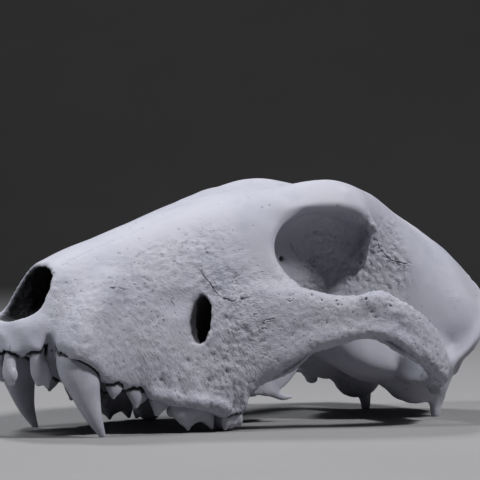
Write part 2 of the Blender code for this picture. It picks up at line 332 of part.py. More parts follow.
    yield "molar_2", ((-23.6, 21.4, 19.0, 1.5, 2.0), (-23.4, 22.0, 13.0, 2.0, 3.0), (-23.4, 22.6, 9.4, 2.6, 4.0)), (
        (tube(((-23.4, 22.2, 12.0, 2.1, 3.2), (-23.4, 22.6, 9.2, 2.6, 4.1), (-23.4, 22.7, 7.6, 2.2, 3.5)), up=X), 0.0),
        (ball((-24.0, 24.8, 7.0), (1.5, 1.6, 1.8)), 1.0), (ball((-23.0, 20.8, 7.6), (1.4, 1.5, 1.5)), 1.0))


def tooth_field(root, crown, h):
    """One tooth: its root, its crown and the flat wear where it meets the table."""
    points = np.concatenate([tube(root, up=X)[0]] + [shape[0] for shape, _ in crown])
    field = Field(points.min(0) - 2 - 2 * h, points.max(0) + 2 + 2 * h, h)
    for k, (shape, blend) in enumerate(crown):
        field.add(shape, blend if k else 0.0)
    field.add(tube(root, up=X, n=24), 0.6)
    return field


def socket(root, n=8, past=5.0):
    """The hole that a root stands in, flared at the mouth and carried out past the bone."""
    rows = np.array(root, float)
    t = np.linspace(0, 1, len(rows))[:, None] ** 2
    rows[:, 3:5] = (rows[:, 3:5] + DEEP_GAP + (MOUTH_GAP - DEEP_GAP) * t) / math.cos(math.pi / n)
    out = rows[-1, :3] - rows[-2, :3]
    out /= np.linalg.norm(out)
    end = rows[-1].copy()
    end[:3] += out * past
    rows[0, :3] -= (rows[1, :3] - rows[0, :3]) / np.linalg.norm(rows[1, :3] - rows[0, :3]) * DEEP_GAP
    return tube(np.vstack([rows, end]), up=X, n=n, steps=len(root) + 2, caps=(None, 0.0), dome_at=(42,))


def cranium(h):
    bone = Field((-112, 0, -3), (108, 62, 94), h, True)
    bone.add(hull(FACE, 1.5, 2.0, 4.0))
    bone.cut(tube(((10.5, 12, 62.4, 22.5, 15.0), (9.7, 28, 62.4, 23.3, 15.0), (7.8, 60, 62.4, 25.2, 16.0)), up=X, n=40, caps=(3.0, 2.0)), 5.0)    # orbit
    bone.add(hull(VAULT, 1.5, 4.0, 6.0), 3.0)
    for shape, blend in outgrowths():
        bone.add(shape, blend)
    for shape, blend in (*dips(), *hollows()):
        bone.cut(shape, blend)
    return bone


# ---------------------------------------------------------------- objects
def clear():
    for thing in list(bpy.data.objects):
        bpy.data.objects.remove(thing, do_unlink=True)


def material(name, colour, roughness):
    made = bpy.data.materials.new(name)
    made.use_nodes = True
    shader = made.node_tree.nodes["Principled BSDF"]
    shader.inputs["Base Color"].default_value = (*colour, 1.0)
    shader.inputs["Roughness"].default_value = roughness
    shader.inputs["Metallic"].default_value = 0.0
    return made


def placed(name, points, faces, parent, look=None, mirrored=False):
    """An object from points in the sections' frame, with its origin at its own middle."""
    points = lean(np.asarray(points, float)) + (SHIFT_X, 0, 0)
    faces = [tuple(int(i) for i in f) for f in faces]
    if mirrored:
        points = points * (1, -1, 1)
        faces = [f[::-1] for f in faces]
    middle = np.round((points.min(0) + points.max(0)) / 2) / 1000
    mesh = bpy.data.meshes.new(name)
    mesh.from_pydata((points / 1000 - middle).tolist(), [], faces)
    mesh.validate()
    shape = bmesh.new()
    shape.from_mesh(mesh)
    bmesh.ops.triangulate(shape, faces=shape.faces)
    bmesh.ops.recalc_face_normals(shape, faces=shape.faces)
    if shape.calc_volume(signed=True) < 0:
        bmesh.ops.reverse_faces(shape, faces=shape.faces)
    shape.to_mesh(mesh)
    shape.free()
    mesh.shade_smooth()
    thing = bpy.data.objects.new(name, mesh)
    bpy.context.collection.objects.link(thing)
    thing.parent = parent
    thing.location = middle
    if look:
        mesh.materials.append(look)
    return thing


def thin(thing, faces):
    cut = thing.modifiers.new("fewer faces", "DECIMATE")
    cut.ratio = min(1.0, faces / len(thing.data.polygons))


def take_away(thing, cutter):
    cutter.hide_render = True
    cutter.display_type = "WIRE"
    cut = thing.modifiers.new("less " + cutter.name, "BOOLEAN")
    cut.operation, cut.solver, cut.object = "DIFFERENCE", "EXACT", cutter


def table_block(parent):
    """A block below Z = 0, which leaves the small flats that the skull stands on."""
    low, high = np.array((-130, -70, -20.0)), np.array((130, 70, 0.0))
    corners = np.array([(x, y, z) for x in (0, 1) for y in (0, 1) for z in (0, 1)])
    faces = [(0, 1, 3, 2), (4, 6, 7, 5), (0, 4, 5, 1), (2, 3, 7, 6), (0, 2, 6, 4), (1, 5, 7, 3)]
    return placed("below_the_table", low + corners * (high - low), faces, parent)


def build():
    clear()
    bone = material("bone", (0.52, 0.52, 0.53), 0.62)
    enamel = material("enamel", (0.55, 0.55, 0.57), 0.38)
    skull = bpy.data.objects.new("skull", None)
    bpy.context.collection.objects.link(skull)
    table = table_block(skull)

    points, faces = cranium(SKULL_CELL).surface()
    head = placed("cranium", points, faces, skull, bone)
    thin(head, SKULL_FACES)

    for name, root, crown in teeth():
        points, faces = tooth_field(root, crown, TOOTH_CELL).surface()
        hole, hole_faces = socket(root, 12 if name == "canine" else 8)
        for side, mirrored in (("left", True), ("right", False)):
            tooth = placed(f"{name}_{side}", points, faces, skull, enamel, mirrored)
            thin(tooth, TOOTH_FACES[name.split("_")[0]])
            if name == "canine":
                take_away(tooth, table)
            take_away(head, placed(f"socket_{name}_{side}", hole, hole_faces, skull, None, mirrored))
    take_away(head, table)


build()
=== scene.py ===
"""The bull terrier skull's looks: the fine surface of the cranium and of its upper teeth,
their materials, a pale floor, soft light and the camera. Metres, +Z up; the nose points
along -X and the animal's left side is -Y. Shapes are worked out in millimetres in the
sections' frame, which SHIFT_X carries to the part's own frame.
"""
import math

import bmesh
import bpy
import numpy as np
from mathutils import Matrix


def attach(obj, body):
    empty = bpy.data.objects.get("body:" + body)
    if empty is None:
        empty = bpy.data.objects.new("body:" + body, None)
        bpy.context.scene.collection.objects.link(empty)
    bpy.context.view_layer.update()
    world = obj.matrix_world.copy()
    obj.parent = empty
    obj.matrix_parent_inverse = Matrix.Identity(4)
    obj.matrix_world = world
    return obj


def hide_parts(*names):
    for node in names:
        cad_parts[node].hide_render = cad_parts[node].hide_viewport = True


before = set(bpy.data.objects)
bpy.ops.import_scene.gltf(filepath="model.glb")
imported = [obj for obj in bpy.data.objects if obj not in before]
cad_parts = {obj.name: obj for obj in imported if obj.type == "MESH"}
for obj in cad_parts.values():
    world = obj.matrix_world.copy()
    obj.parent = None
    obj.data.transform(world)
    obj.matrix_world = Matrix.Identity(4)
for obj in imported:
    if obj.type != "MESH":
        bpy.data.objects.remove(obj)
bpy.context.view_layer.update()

import openvdb as vdb
from mathutils import Euler, Vector
from mathutils.bvhtree import BVHTree
from mathutils.kdtree import KDTree

# ---------------------------------------------------------------- driving dimensions, millimetres
SHIFT_X = 4.90          # the sections' frame, along X, to the part's origin
SKULL_CELL = 0.62     # lattice spacing for the cranium
TOOTH_CELL = 0.27     # lattice spacing for a tooth
SKULL_FACES = 194000    # triangles kept on the cranium
LEAN = 0.035            # rise of the brow towards +Y, as a real skull is never quite even
BAND = 6.0              # width of the signed distances either side of a surface

EYE = np.array((-430.2, -626.7, 65.7))          # the camera, in the sections' frame
TURN = math.radians(34.0)                       # its heading, from +Y towards +X
FOCUS = 2091.0                                  # its focal length in pixels of a 480-pixel frame

# Coronal sections, front to back: x, then the half outline as points (y, z) from the dorsal
# midline, over the nasal or brow ridge and down the side, round the tooth-bearing edge,
# and along the palate or the skull base to the ventral midline.
FACE = (
    (-106.3, ((0, 36.4), (3.0, 36.2), (5.8, 35.6), (7.7, 34.4), (8.6, 32.8), (8.6, 31.2), (8.2, 30.2), (7.0, 29.2), (4.6, 28.8), (2.3, 28.9), (0, 29.0))),
    (-103.5, ((0, 39.4), (4.6, 39.3), (8.8, 38.6), (11.3, 36.6), (12.2, 34.0), (12.5, 31.2), (12.1, 29.4), (10.6, 28.0), (7.6, 27.6), (3.9, 28.1), (0, 28.6))),
    (-99.5, ((0, 42.6), (5.8, 42.4), (10.3, 41.1), (13.4, 38.4), (15.0, 35.8), (15.7, 32.2), (15.7, 29.6), (14.4, 27.4), (11.0, 27.0), (5.7, 28.0), (0, 29.0))),
    (-95.5, ((0, 46.6), (5.8, 46.4), (10.6, 44.9), (14.0, 41.2), (16.5, 37.2), (18.1, 33.6), (19.2, 30.0), (17.8, 26.8), (13.4, 26.6), (7.1, 28.6), (0, 30.0))),
    (-92.0, ((0, 51.6), (5.6, 51.4), (11.2, 50.0), (15.1, 45.0), (18.4, 39.8), (22.8, 34.6), (25.6, 29.8), (25.0, 26.2), (16.0, 26.0), (8.3, 28.6), (0, 30.2))),
    (-89.0, ((0, 57.0), (5.8, 56.5), (11.0, 53.8), (15.6, 48.4), (20.4, 42.0), (25.0, 35.6), (27.4, 30.0), (27.0, 26.2), (18.0, 25.2), (9.4, 28.2), (0, 30.0))),
    (-84.5, ((0, 59.6), (6.2, 59.0), (11.8, 56.2), (17.0, 50.8), (21.8, 43.8), (26.0, 36.2), (28.0, 29.0), (27.6, 23.8), (19.6, 23.0), (10.2, 27.0), (0, 29.2))),
    (-78.0, ((0, 62.6), (6.6, 61.8), (12.6, 58.7), (18.0, 53.0), (21.8, 45.6), (24.8, 37.0), (26.2, 27.6), (25.4, 19.8), (19.6, 18.8), (10.4, 24.4), (0, 27.2))),
    (-66.0, ((0, 66.8), (7.0, 65.9), (13.4, 62.4), (18.8, 56.0), (22.2, 47.8), (24.2, 38.0), (25.0, 27.0), (23.9, 16.2), (19.8, 14.4), (11.4, 21.0), (0, 24.4))),
    (-53.0, ((0, 71.4), (8.0, 70.4), (15.2, 66.8), (21.0, 60.0), (24.6, 51.0), (26.8, 39.6), (28.2, 26.0), (28.6, 12.2), (24.6, 9.6), (13.6, 17.4), (0, 21.4))),
    (-41.0, ((0, 75.6), (9.2, 74.7), (17.4, 71.0), (23.6, 64.0), (27.4, 54.4), (30.0, 41.8), (31.4, 27.0), (32.0, 10.4), (27.6, 7.4), (15.0, 15.0), (0, 19.4))),
    (-33.0, ((0, 78.2), (10.0, 77.5), (19.1, 74.4), (25.6, 67.5), (29.5, 57.6), (32.3, 44.4), (33.4, 28.6), (33.4, 8.4), (28.2, 4.8), (15.0, 14.6), (0, 18.4))),
    (-27.6, ((0, 79.7), (10.4, 79.2), (20.0, 76.3), (26.7, 69.6), (30.7, 59.6), (33.5, 46.2), (34.2, 30.4), (33.4, 10.2), (28.2, 6.8), (15.0, 14.4), (0, 18.4))),
    (-22.0, ((0, 81.4), (10.8, 81.0), (21.0, 78.4), (28.0, 72.0), (31.8, 62.0), (34.6, 48.6), (33.8, 34.0), (29.4, 17.6), (23.6, 11.6), (12.6, 15.6), (0, 18.8))),
    (-15.0, ((0, 82.8), (11.2, 82.4), (21.8, 80.2), (29.0, 74.8), (33.2, 65.8), (36.4, 53.6), (34.4, 43.0), (26.0, 36.0), (17.0, 33.0), (8.0, 33.0), (0, 33.0))),
    (-6.0, ((0, 83.4), (11.4, 83.4), (22.0, 82.2), (29.0, 77.2), (33.4, 69.4), (37.0, 58.4), (36.2, 49.6), (26.0, 45.6), (16.0, 45.0), (8.0, 45.0), (0, 45.0))),
    (3.0, ((0, 82.0), (10.0, 82.0), (19.0, 80.8), (26.0, 77.0), (30.4, 70.6), (32.6, 62.6), (31.0, 54.0), (22.0, 51.0), (14.0, 50.0), (7.0, 50.0), (0, 50.0))),
)
VAULT = (
    (-34.0, ((0, 74.0), (8.0, 73.0), (14.0, 68.0), (17.0, 61.0), (17.0, 54.0), (16.0, 46.0), (15.0, 38.0), (13.0, 30.0), (10.0, 24.0), (6.0, 21.0), (0, 21.0))),
    (-20.0, ((0, 80.8), (10.0, 80.4), (18.0, 77.4), (20.0, 71.0), (19.5, 64.0), (18.5, 55.0), (17.5, 45.0), (15.5, 34.0), (12.0, 25.0), (7.0, 21.5), (0, 21.5))),
    (-12.0, ((0, 83.4), (11.2, 83.4), (21.8, 81.8), (28.4, 77.0), (27.0, 72.0), (20.0, 64.0), (17.8, 52.0), (15.6, 40.0), (12.4, 28.5), (7.4, 23.4), (0, 23.4))),
    (-3.0, ((0, 84.4), (11.2, 84.8), (22.4, 84.6), (29.8, 79.6), (29.2, 76.4), (19.6, 70.6), (17.2, 57.0), (15.4, 43.0), (12.4, 30.0), (7.6, 24.6), (0, 24.8))),
    (8.0, ((0, 84.4), (11.0, 85.8), (22.6, 87.3), (30.2, 81.6), (30.0, 77.6), (20.0, 74.0), (17.0, 60.0), (15.4, 46.0), (12.8, 32.0), (8.0, 25.6), (0, 25.4))),
    (18.0, ((0, 84.0), (10.8, 85.6), (22.4, 87.9), (30.6, 81.6), (30.6, 77.0), (20.4, 73.6), (17.2, 61.0), (15.8, 47.4), (13.4, 33.0), (8.4, 25.8), (0, 25.2))),
    (27.0, ((0, 83.4), (10.0, 84.8), (20.8, 86.4), (29.8, 79.4), (30.2, 73.6), (20.0, 68.8), (17.8, 60.0), (17.2, 45.0), (19.8, 24.6), (11.5, 19.4), (0, 22.4))),
    (34.0, ((0, 83.2), (8.8, 84.4), (18.0, 84.6), (24.2, 78.4), (23.8, 71.4), (19.6, 63.0), (18.8, 51.0), (20.6, 36.0), (24.0, 20.0), (13.4, 15.2), (0, 19.0))),
    (42.0, ((0, 82.8), (7.4, 83.2), (14.8, 82.4), (20.0, 76.8), (21.2, 68.4), (21.4, 57.4), (22.6, 46.0), (24.8, 31.5), (27.4, 17.8), (15.0, 12.9), (0, 17.0))),
    (54.0, ((0, 79.0), (5.2, 78.4), (12.4, 75.8), (19.2, 69.2), (23.8, 59.8), (26.4, 48.6), (27.8, 37.6), (28.6, 26.4), (23.4, 15.4), (10.6, 15.8), (0, 16.8))),
    (66.0, ((0, 72.4), (4.8, 71.6), (11.8, 68.4), (19.0, 62.0), (25.2, 52.8), (29.0, 43.2), (30.0, 33.2), (27.0, 24.4), (18.8, 18.6), (9.4, 16.8), (0, 16.4))),
    (78.0, ((0, 66.4), (5.2, 65.6), (12.0, 62.4), (19.0, 56.8), (25.4, 47.4), (29.2, 39.4), (30.0, 32.0), (27.4, 25.0), (19.8, 19.6), (9.8, 17.0), (0, 16.4))),
    (86.0, ((0, 60.8), (5.0, 60.0), (10.6, 57.0), (16.4, 52.0), (21.4, 44.4), (24.4, 38.4), (24.8, 32.6), (22.2, 27.0), (16.4, 22.2), (8.4, 19.6), (0, 19.0))),
)


def hermite(xs, values, at):
    """Smooth curve through values (one row per x), read at the places in at."""
    xs, values, at = np.asarray(xs, float), np.asarray(values, float), np.asarray(at, float)
    slope = np.empty_like(values)
    step = np.diff(xs)[:, None]
    rise = np.diff(values, axis=0) / step
    slope[1:-1] = (rise[:-1] * step[1:] + rise[1:] * step[:-1]) / (step[1:] + step[:-1])
    slope[0], slope[-1] = rise[0], rise[-1]
    i = np.clip(np.searchsorted(xs, at, side="right") - 1, 0, len(xs) - 2)
    w = (xs[i + 1] - xs[i])[:, None]
    t = (at - xs[i])[:, None] / w
    return ((1 + 2 * t) * (1 - t) ** 2 * values[i] + t * (1 - t) ** 2 * w * slope[i]
            + t * t * (3 - 2 * t) * values[i + 1] + t * t * (t - 1) * w * slope[i + 1])


def smooth_line(points, n):
    """n samples of a smooth open curve through points, which may carry extra columns such as radii."""
    p = np.asarray(points, float)
    length = np.r_[0, np.cumsum(np.linalg.norm(np.diff(p[:, :3], axis=0), axis=1) ** 0.5)]
    return hermite(length, p, np.linspace(0, length[-1], n))


def loft(rings, round_start=0.0, round_end=0.0, dome_at=(25, 45, 62, 76)):
    """Closed mesh through rings of points, with a domed cap of the stated depth at each end."""
    rings = [np.asarray(r, float) for r in rings]

    def dome(ring, inner, depth):
        centre = ring.mean(0)
        out = centre - inner.mean(0)
        out = out / (np.linalg.norm(out) + 1e-9)
        made = []
        for a in dome_at if depth > 0 else ():
            a = math.radians(a)
            made.append(centre + (ring - centre) * math.cos(a) + out * depth * math.sin(a))
        return made, centre + out * depth

    first, tip0 = dome(rings[0], rings[1], round_start)
    last, tip1 = dome(rings[-1], rings[-2], round_end)
    rings = first[::-1] + rings + last
    n = len(rings[0])
    points = np.concatenate(rings + [tip0[None], tip1[None]])
    j = np.arange(n)
    faces = []
    for r in range(len(rings) - 1):
        a, b = r * n + j, r * n + (j + 1) % n
        c, d = a + n, b + n
        faces += [np.stack([a, b, d], 1), np.stack([a, d, c], 1)]
    low, high, base = len(rings) * n, len(rings) * n + 1, (len(rings) - 1) * n
    faces.append(np.stack([(j + 1) % n, j, np.full(n, low)], 1))
    faces.append(np.stack([base + j, base + (j + 1) % n, np.full(n, high)], 1))
    return points, np.concatenate(faces)


def outline_ring(x, half, n):
    """Closed ring at x from a half outline, mirrored, with n points on each control span."""
    half = np.asarray(half, float)
    loop = np.concatenate([half, half[-2:0:-1] * (-1, 1)])
    k = len(loop)
    t = np.arange(k * n) / n
    i = t.astype(int)
    f = (t - i)[:, None]
    p0, p1, p2, p3 = (loop[(i + o) % k] for o in (-1, 0, 1, 2))
    yz = 0.5 * (2 * p1 + (p2 - p0) * f + (2 * p0 - 5 * p1 + 4 * p2 - p3) * f ** 2 + (3 * p1 - p0 - 3 * p2 + p3) * f ** 3)
    return np.column_stack([np.full(len(yz), x), yz])


def tube(path, up=(0, 0, 1), n=20, steps=None, square=2.0, caps=(None, None), dome_at=(25, 45, 62, 76)):
    """Sweep of a superellipse: path rows are x, y, z, half-size along up, half-size across."""
    line = smooth_line(path, steps or 6 * (len(path) - 1) + 1)
    p = line[:, :3]
    tangent = np.gradient(p, axis=0)
    tangent /= np.linalg.norm(tangent, axis=1)[:, None]
    up = np.asarray(up, float)
    if up.ndim == 2:
        s = np.linspace(0, 1, len(up))
        up = np.column_stack([np.interp(np.linspace(0, 1, len(p)), s, up[:, c]) for c in range(3)])
    u = up - (up * tangent).sum(1)[:, None] * tangent
    u /= np.linalg.norm(u, axis=1)[:, None]
    v = np.cross(tangent, u)
    a = np.arange(n) * 2 * math.pi / n
    ca, sa = np.sign(np.cos(a)) * abs(np.cos(a)) ** (2 / square), np.sign(np.sin(a)) * abs(np.sin(a)) ** (2 / square)
    rings = [p[i] + np.outer(ca * line[i, 3], u[i]) + np.outer(sa * line[i, 4], v[i]) for i in range(len(p))]
    start = min(line[0, 3:5]) if caps[0] is None else caps[0]
    end = min(line[-1, 3:5]) if caps[1] is None else caps[1]
    return loft(rings, start, end, dome_at)


def ball(centre, radii, turn=(0, 0, 0), n=28):
    """Ellipsoid, turned by Euler angles in degrees about X, Y and Z."""
    rot = np.array(Euler([math.radians(t) for t in turn]).to_matrix())
    a = np.arange(n) * 2 * math.pi / n
    rings = []
    for e in np.linspace(-90, 90, n // 2 + 1)[1:-1]:
        e = math.radians(e)
        ring = np.column_stack([np.full(n, math.sin(e)), math.cos(e) * np.cos(a), math.cos(e) * np.sin(a)])
        rings.append((ring * radii) @ rot.T + centre)
    points, faces = loft(rings)
    points[-2] = np.array([-radii[0], 0, 0]) @ rot.T + centre
    points[-1] = np.array([radii[0], 0, 0]) @ rot.T + centre
    return points, faces


def lean(points):
    """The slight unevenness of a real skull: towards +Y the brow sits a little higher."""
    points = np.array(points)
    t = np.clip((points[:, 2] - 30) / 50, 0, 1)
    points[:, 2] += LEAN * points[:, 1] * t * t * (3 - 2 * t)
    return points


class Field:
    """Signed distance, in millimetres, on a lattice. A halved one covers y > 0, and its mirror is the rest."""

    def __init__(self, low, high, h, halved=False):
        self.h, self.halved, self.shift = h, halved, np.array((0, h / 2 if halved else 0, 0))
        self.i0 = np.floor(np.asarray(low, float) / h).astype(int)
        if halved:
            self.i0[1] = 0
        self.shape = tuple(np.ceil(np.asarray(high, float) / h).astype(int) - self.i0)
        self.d = np.full(self.shape, BAND, np.float32)

    def distance(self, shape):
        points, faces = shape
        moved = (points - self.shift).astype(np.float32)
        return vdb.FloatGrid.createLevelSetFromPolygons(
            moved, triangles=faces.astype(np.uint32),
            transform=vdb.createLinearTransform(voxelSize=self.h), halfWidth=BAND / self.h)

    def block(self, shape):
        """The part of the lattice that this shape's band reaches, and its distances there."""
        points = shape[0]
        low = np.floor((points.min(0) - BAND) / self.h).astype(int) - self.i0
        high = np.ceil((points.max(0) + BAND) / self.h).astype(int) - self.i0
        low, high = np.maximum(low, 0), np.minimum(high, self.shape)
        where = tuple(slice(a, b) for a, b in zip(low, high))
        got = np.empty(tuple(high - low), np.float32)
        self.distance(shape).copyToArray(got, ijk=tuple(int(x) for x in low + self.i0))
        return where, got

    def add(self, shape, blend=0.0):
        where, b = self.block(shape)
        a = self.d[where]
        if blend:
            k = np.maximum(blend - abs(a - b), 0)
            joined = np.minimum(a, b) - k * k / (4 * blend)
            self.d[where] = np.where(b < BAND - 1e-3, joined, a)
        else:
            self.d[where] = np.minimum(a, b)

    def cut(self, shape, blend=0.0):
        where, b = self.block(shape)
        a, b = self.d[where], -b
        if blend:
            k = np.maximum(blend - abs(a - b), 0)
            joined = np.maximum(a, b) + k * k / (4 * blend)
            self.d[where] = np.where(b > -BAND + 1e-3, joined, a)
        else:
            self.d[where] = np.maximum(a, b)

    def surface(self, adaptivity=0.0):
        """(points, faces) of the zero surface."""
        whole = np.concatenate([self.d[:, ::-1], self.d], axis=1) if self.halved else self.d
        whole = np.ascontiguousarray(np.clip(whole, -BAND, BAND))
        grid = vdb.FloatGrid()
        grid.background = BAND
        low = self.i0 - (0, self.shape[1], 0) if self.halved else self.i0
        grid.copyFromArray(whole, ijk=tuple(int(i) for i in low))
        grid.transform = vdb.createLinearTransform(voxelSize=self.h)
        points, tris, quads = grid.convertToPolygons(0.0, adaptivity)
        return points + self.shift, [tuple(f) for f in quads.tolist() + tris.tolist()]


def hull(table, step, round_start, round_end, per_span=6):
    """The closed loft through a table of coronal sections."""
    xs = [x for x, _ in table]
    rows = np.array([half for _, half in table], float).reshape(len(xs), -1)
    at = np.linspace(xs[0], xs[-1], int((xs[-1] - xs[0]) / step) + 2)
    rings = [outline_ring(x, row.reshape(-1, 2), per_span) for x, row in zip(at, hermite(xs, rows, at))]
    return loft(rings, round_start, round_end)


X, Z = (1, 0, 0), (0, 0, 1)

# Everything added to the hull, on the side y > 0: (shape, radius of the blend into what is there).
def outgrowths():
    yield tube(((-36, 26.5, 28.6, 15.5, 3.5), (-27, 31.0, 30.6, 15.6, 4.0), (-18, 36.2, 33.9, 15.4, 4.4), (-9, 41.6, 37.4, 12.0, 3.9),
                (0, 46.4, 38.0, 9.2, 3.3), (10, 50.8, 39.1, 7.7, 3.0), (18, 53.4, 38.3, 8.3, 3.0),
                (27.0, 54.8, 33.2, 8.4, 3.2), (33.0, 54.4, 29.8, 7.5, 3.5), (39.0, 52.8, 25.2, 6.3, 3.8),
                (44.0, 49.2, 21.6, 5.8, 4.1), (48.5, 42.0, 19.6, 5.0, 4.4), (53, 31.0, 18.8, 4.8, 4.8)), n=28, square=2.4), 7.0   # zygomatic arch
    yield ball((14.5, 52.4, 45.4), (6.5, 2.3, 3.4)), 2.5                                        # frontal process of the cheek bone
    yield tube(((45.2, 45.4, 17.6, 3.6, 2.8), (46.8, 41, 16.4, 5.0, 3.2), (48.6, 35, 16.2, 6.0, 4.0), (51, 26, 18.5, 7, 5.5)), up=X), 2.5      # articular bar
    yield tube(((46.8, 43, 20.6, 4.2, 3.6), (49.6, 36, 21.2, 6.2, 4.2), (52.4, 30, 22.6, 9.0, 5.0), (55, 24, 25, 12, 7)), up=X), 3.5       # root of the arch
    yield tube(((51.6, 38.5, 15.4, 2.0, 5.0), (52.2, 38, 10.8, 1.4, 3.4)), up=X), 1.6                  # process behind the jaw joint
    yield tube(((19, 25, 79.8, 3.4, 6.0), (24.8, 29.0, 75.6, 2.6, 3.6), (28.2, 31.2, 72.0, 1.3, 1.6), (29.6, 31.9, 70.2, 0.5, 0.6)), up=X, steps=26), 2.0   # postorbital process
    yield tube(((28.6, 31.0, 71.4, 0.8, 1.3), (30.4, 26.6, 67.8, 1.2, 2.2), (32.0, 22.0, 63.4, 1.4, 2.6), (32.8, 19.6, 59.0, 1.2, 2.0)), up=X), 3.2     # crest between orbit and temple
    yield tube(((-29, 13.4, 21.0, 9.6, 2.4), (-21, 12.6, 20.4, 9.6, 1.9), (-13, 11.8, 20.2, 10.0, 1.6), (-6, 11.1, 20.6, 10.4, 1.4), (0, 10.7, 21.8, 10.2, 1.3),
                (5, 10.5, 24.2, 8.4, 1.3), (10, 10.4, 27.4, 5.6, 1.3), (15, 10.4, 29.8, 3.4, 1.4)), n=24, square=2.6), 2.2       # pterygoid plate
    yield tube(((-4.0, 10.9, 12.2, 2.4, 1.2), (0.4, 10.6, 10.6, 1.7, 1.0), (4.4, 10.4, 9.0, 1.2, 0.9), (8.0, 10.3, 9.0, 0.6, 0.6)), n=16), 1.2       # its hook
    yield tube(((-20, 19, 18, 3.6, 3.6), (-17.5, 19.4, 26, 4.6, 4.4), (-14.5, 19.8, 35, 4.8, 4.6), (-11.5, 19.8, 43, 4.0, 4.0), (-9.5, 19.4, 49, 2.8, 3.0)), up=X), 5.0     # corner behind the maxilla
    yield tube(((49.5, 14.8, 15.4, 5.4, 4.4), (55, 16.6, 13.8, 7.8, 6.8), (60.5, 18.8, 13.0, 8.0, 7.8), (66, 20.6, 13.8, 6.6, 6.6)), square=2.2, caps=(4.0, 4.0)), 3.0                             # tympanic bulla
    yield ball((79.5, 11.4, 21.4), (6.6, 5.4, 8.0), (0, -12, -20)), 2.5                          # occipital condyle
    yield tube(((69.0, 25.4, 24, 5.5, 3.2), (66.6, 24.6, 15, 4.0, 2.3), (65.4, 23.4, 10, 3.7, 1.9), (65.6, 22.4, 7.0, 3.7, 1.8), (65.9, 21.7, 4.2, 2.5, 1.5), (66.0, 21.3, 0.2, 1.6, 1.3)), up=X, square=2.6, steps=40, caps=(None, 1.4)), 1.6    # paracondylar process
    yield ball((63.0, 28.6, 18.4), (4.4, 3.6, 6.2), (0, 0, -20)), 2.5                              # mastoid process
    yield tube(((50, 0, 79.0, 1.8, 1.8), (62, 0, 74.2, 1.8, 1.6), (78, 0, 65.0, 2.2, 1.6), (89, 0, 56.4, 2.8, 1.8), (95.8, 0, 49.6, 2.4, 2.2))), 3.0     # sagittal crest
    yield tube(((95.0, 0, 49.8, 4.4, 1.9), (91.8, 10, 46.0, 4.0, 1.8), (86.8, 20, 40.6, 4.0, 1.7), (80.4, 27.2, 34.0, 3.9, 1.6),
                (72.0, 30.2, 26.6, 3.4, 1.6), (64.0, 30.2, 20.4, 2.8, 1.8)), up=((1, 0, 0.6), (0.8, 0.6, 0.4), (0.5, 0.9, 0)), n=20), 4.0    # nuchal crest
    yield ball((84, 0, 42), (10.0, 19, 12)), 6.0                                                  # occipital squama
    yield tube(((-88.4, 21.8, 28.6, 6.8, 5.3), (-86.2, 21.4, 33, 6.4, 5.2), (-81.6, 20.2, 40, 5.6, 4.8), (-73, 17.0, 50, 4.4, 3.8)), up=X, caps=(0.5, None)), 4.5     # bulge over the canine's root
    yield tube(((-90.8, 10.9, 38.0, 4.0, 3.4), (-95.8, 12.4, 32.6, 4.0, 3.6), (-97.4, 12.8, 29.4, 3.8, 3.4)), up=X, caps=(None, 0.5)), 1.6     # collars round the incisors
    yield tube(((-99.6, 7.2, 34.6, 3.0, 2.8), (-103.2, 8.1, 30.8, 3.6, 3.4), (-104.4, 8.5, 27.9, 3.7, 3.5)), up=X, caps=(None, 0.6)), 1.5
    yield tube(((-101.4, 3.0, 34.0, 2.8, 2.6), (-104.9, 3.3, 30.2, 3.5, 3.0), (-106.2, 3.4, 27.6, 3.6, 3.0)), up=X, caps=(None, 0.6)), 1.5
    yield tube(((-60, 25.6, 13.6, 1.5, 1.3), (-53, 28.0, 12.0, 1.7, 1.5), (-46, 30.2, 10.8, 1.8, 1.5), (-40, 31.8, 9.8, 1.6, 1.4), (-35, 33.0, 8.4, 1.2, 1.2))), 3.0      # lip over the cheek teeth


# Hollows in it: the open dips, and then those that go deep.
def dips():
    yield ball((-52.6, 31.3, 46.2), (9.0, 5.5, 6.2), (0, 0, 17)), 3.0                              # in front of the canal below the eye
    yield ball((-99.0, 18.0, 35.0), (3.4, 2.4, 4.6), (0, 0, 35)), 2.0                              # above the corner incisor
    yield ball((-97.2, 19.8, 26.2), (2.9, 6.6, 9.4), (0, 0, 38)), 1.0                            # gap for the lower canine
    yield ball((45.4, 40, 11.0), (4.4, 8.4, 4.0), (0, 0, -8)), 1.2                                # jaw joint socket


def hollows():
    yield tube(((-115, 0, 45.4, 6.8, 9.6), (-104, 0, 46.2, 7.8, 11.9), (-97, 0, 46.7, 9.0, 12.1), (-92, 0, 47.0, 9.5, 11.0), (-87, 0, 47.0, 9.6, 9.8), (-78, 0, 46.6, 11.6, 10.0), (-58, 0, 47, 11, 9)),
               n=32, square=3.0, caps=(None, 6)), 0.8    # nasal cavity
    yield tube(((-53.4, 36.0, 39.9, 8.6, 3.0), (-44.6, 29.9, 39.0, 8.5, 2.9), (-35, 25.4, 37.6, 7.2, 2.7), (-12, 23.6, 35, 6.0, 3.0))), 1.4   # infraorbital canal
    yield tube(((-40, 0, 24.4, 2.6, 7.5), (-26, 0, 22.6, 4.6, 7.8), (-14, 0, 20.5, 5.6, 8.0), (4, 0, 20.0, 4.6, 7.4))), 2.0            # choanae
    yield ball((90, 0, 27.5), (17, 9.2, 7.6)), 1.5                                                # foramen magnum
    yield tube(((56.4, 37, 19.0, 2.6, 2.2), (58.5, 24, 17.5, 2.4, 2.2))), 1.2                       # ear opening


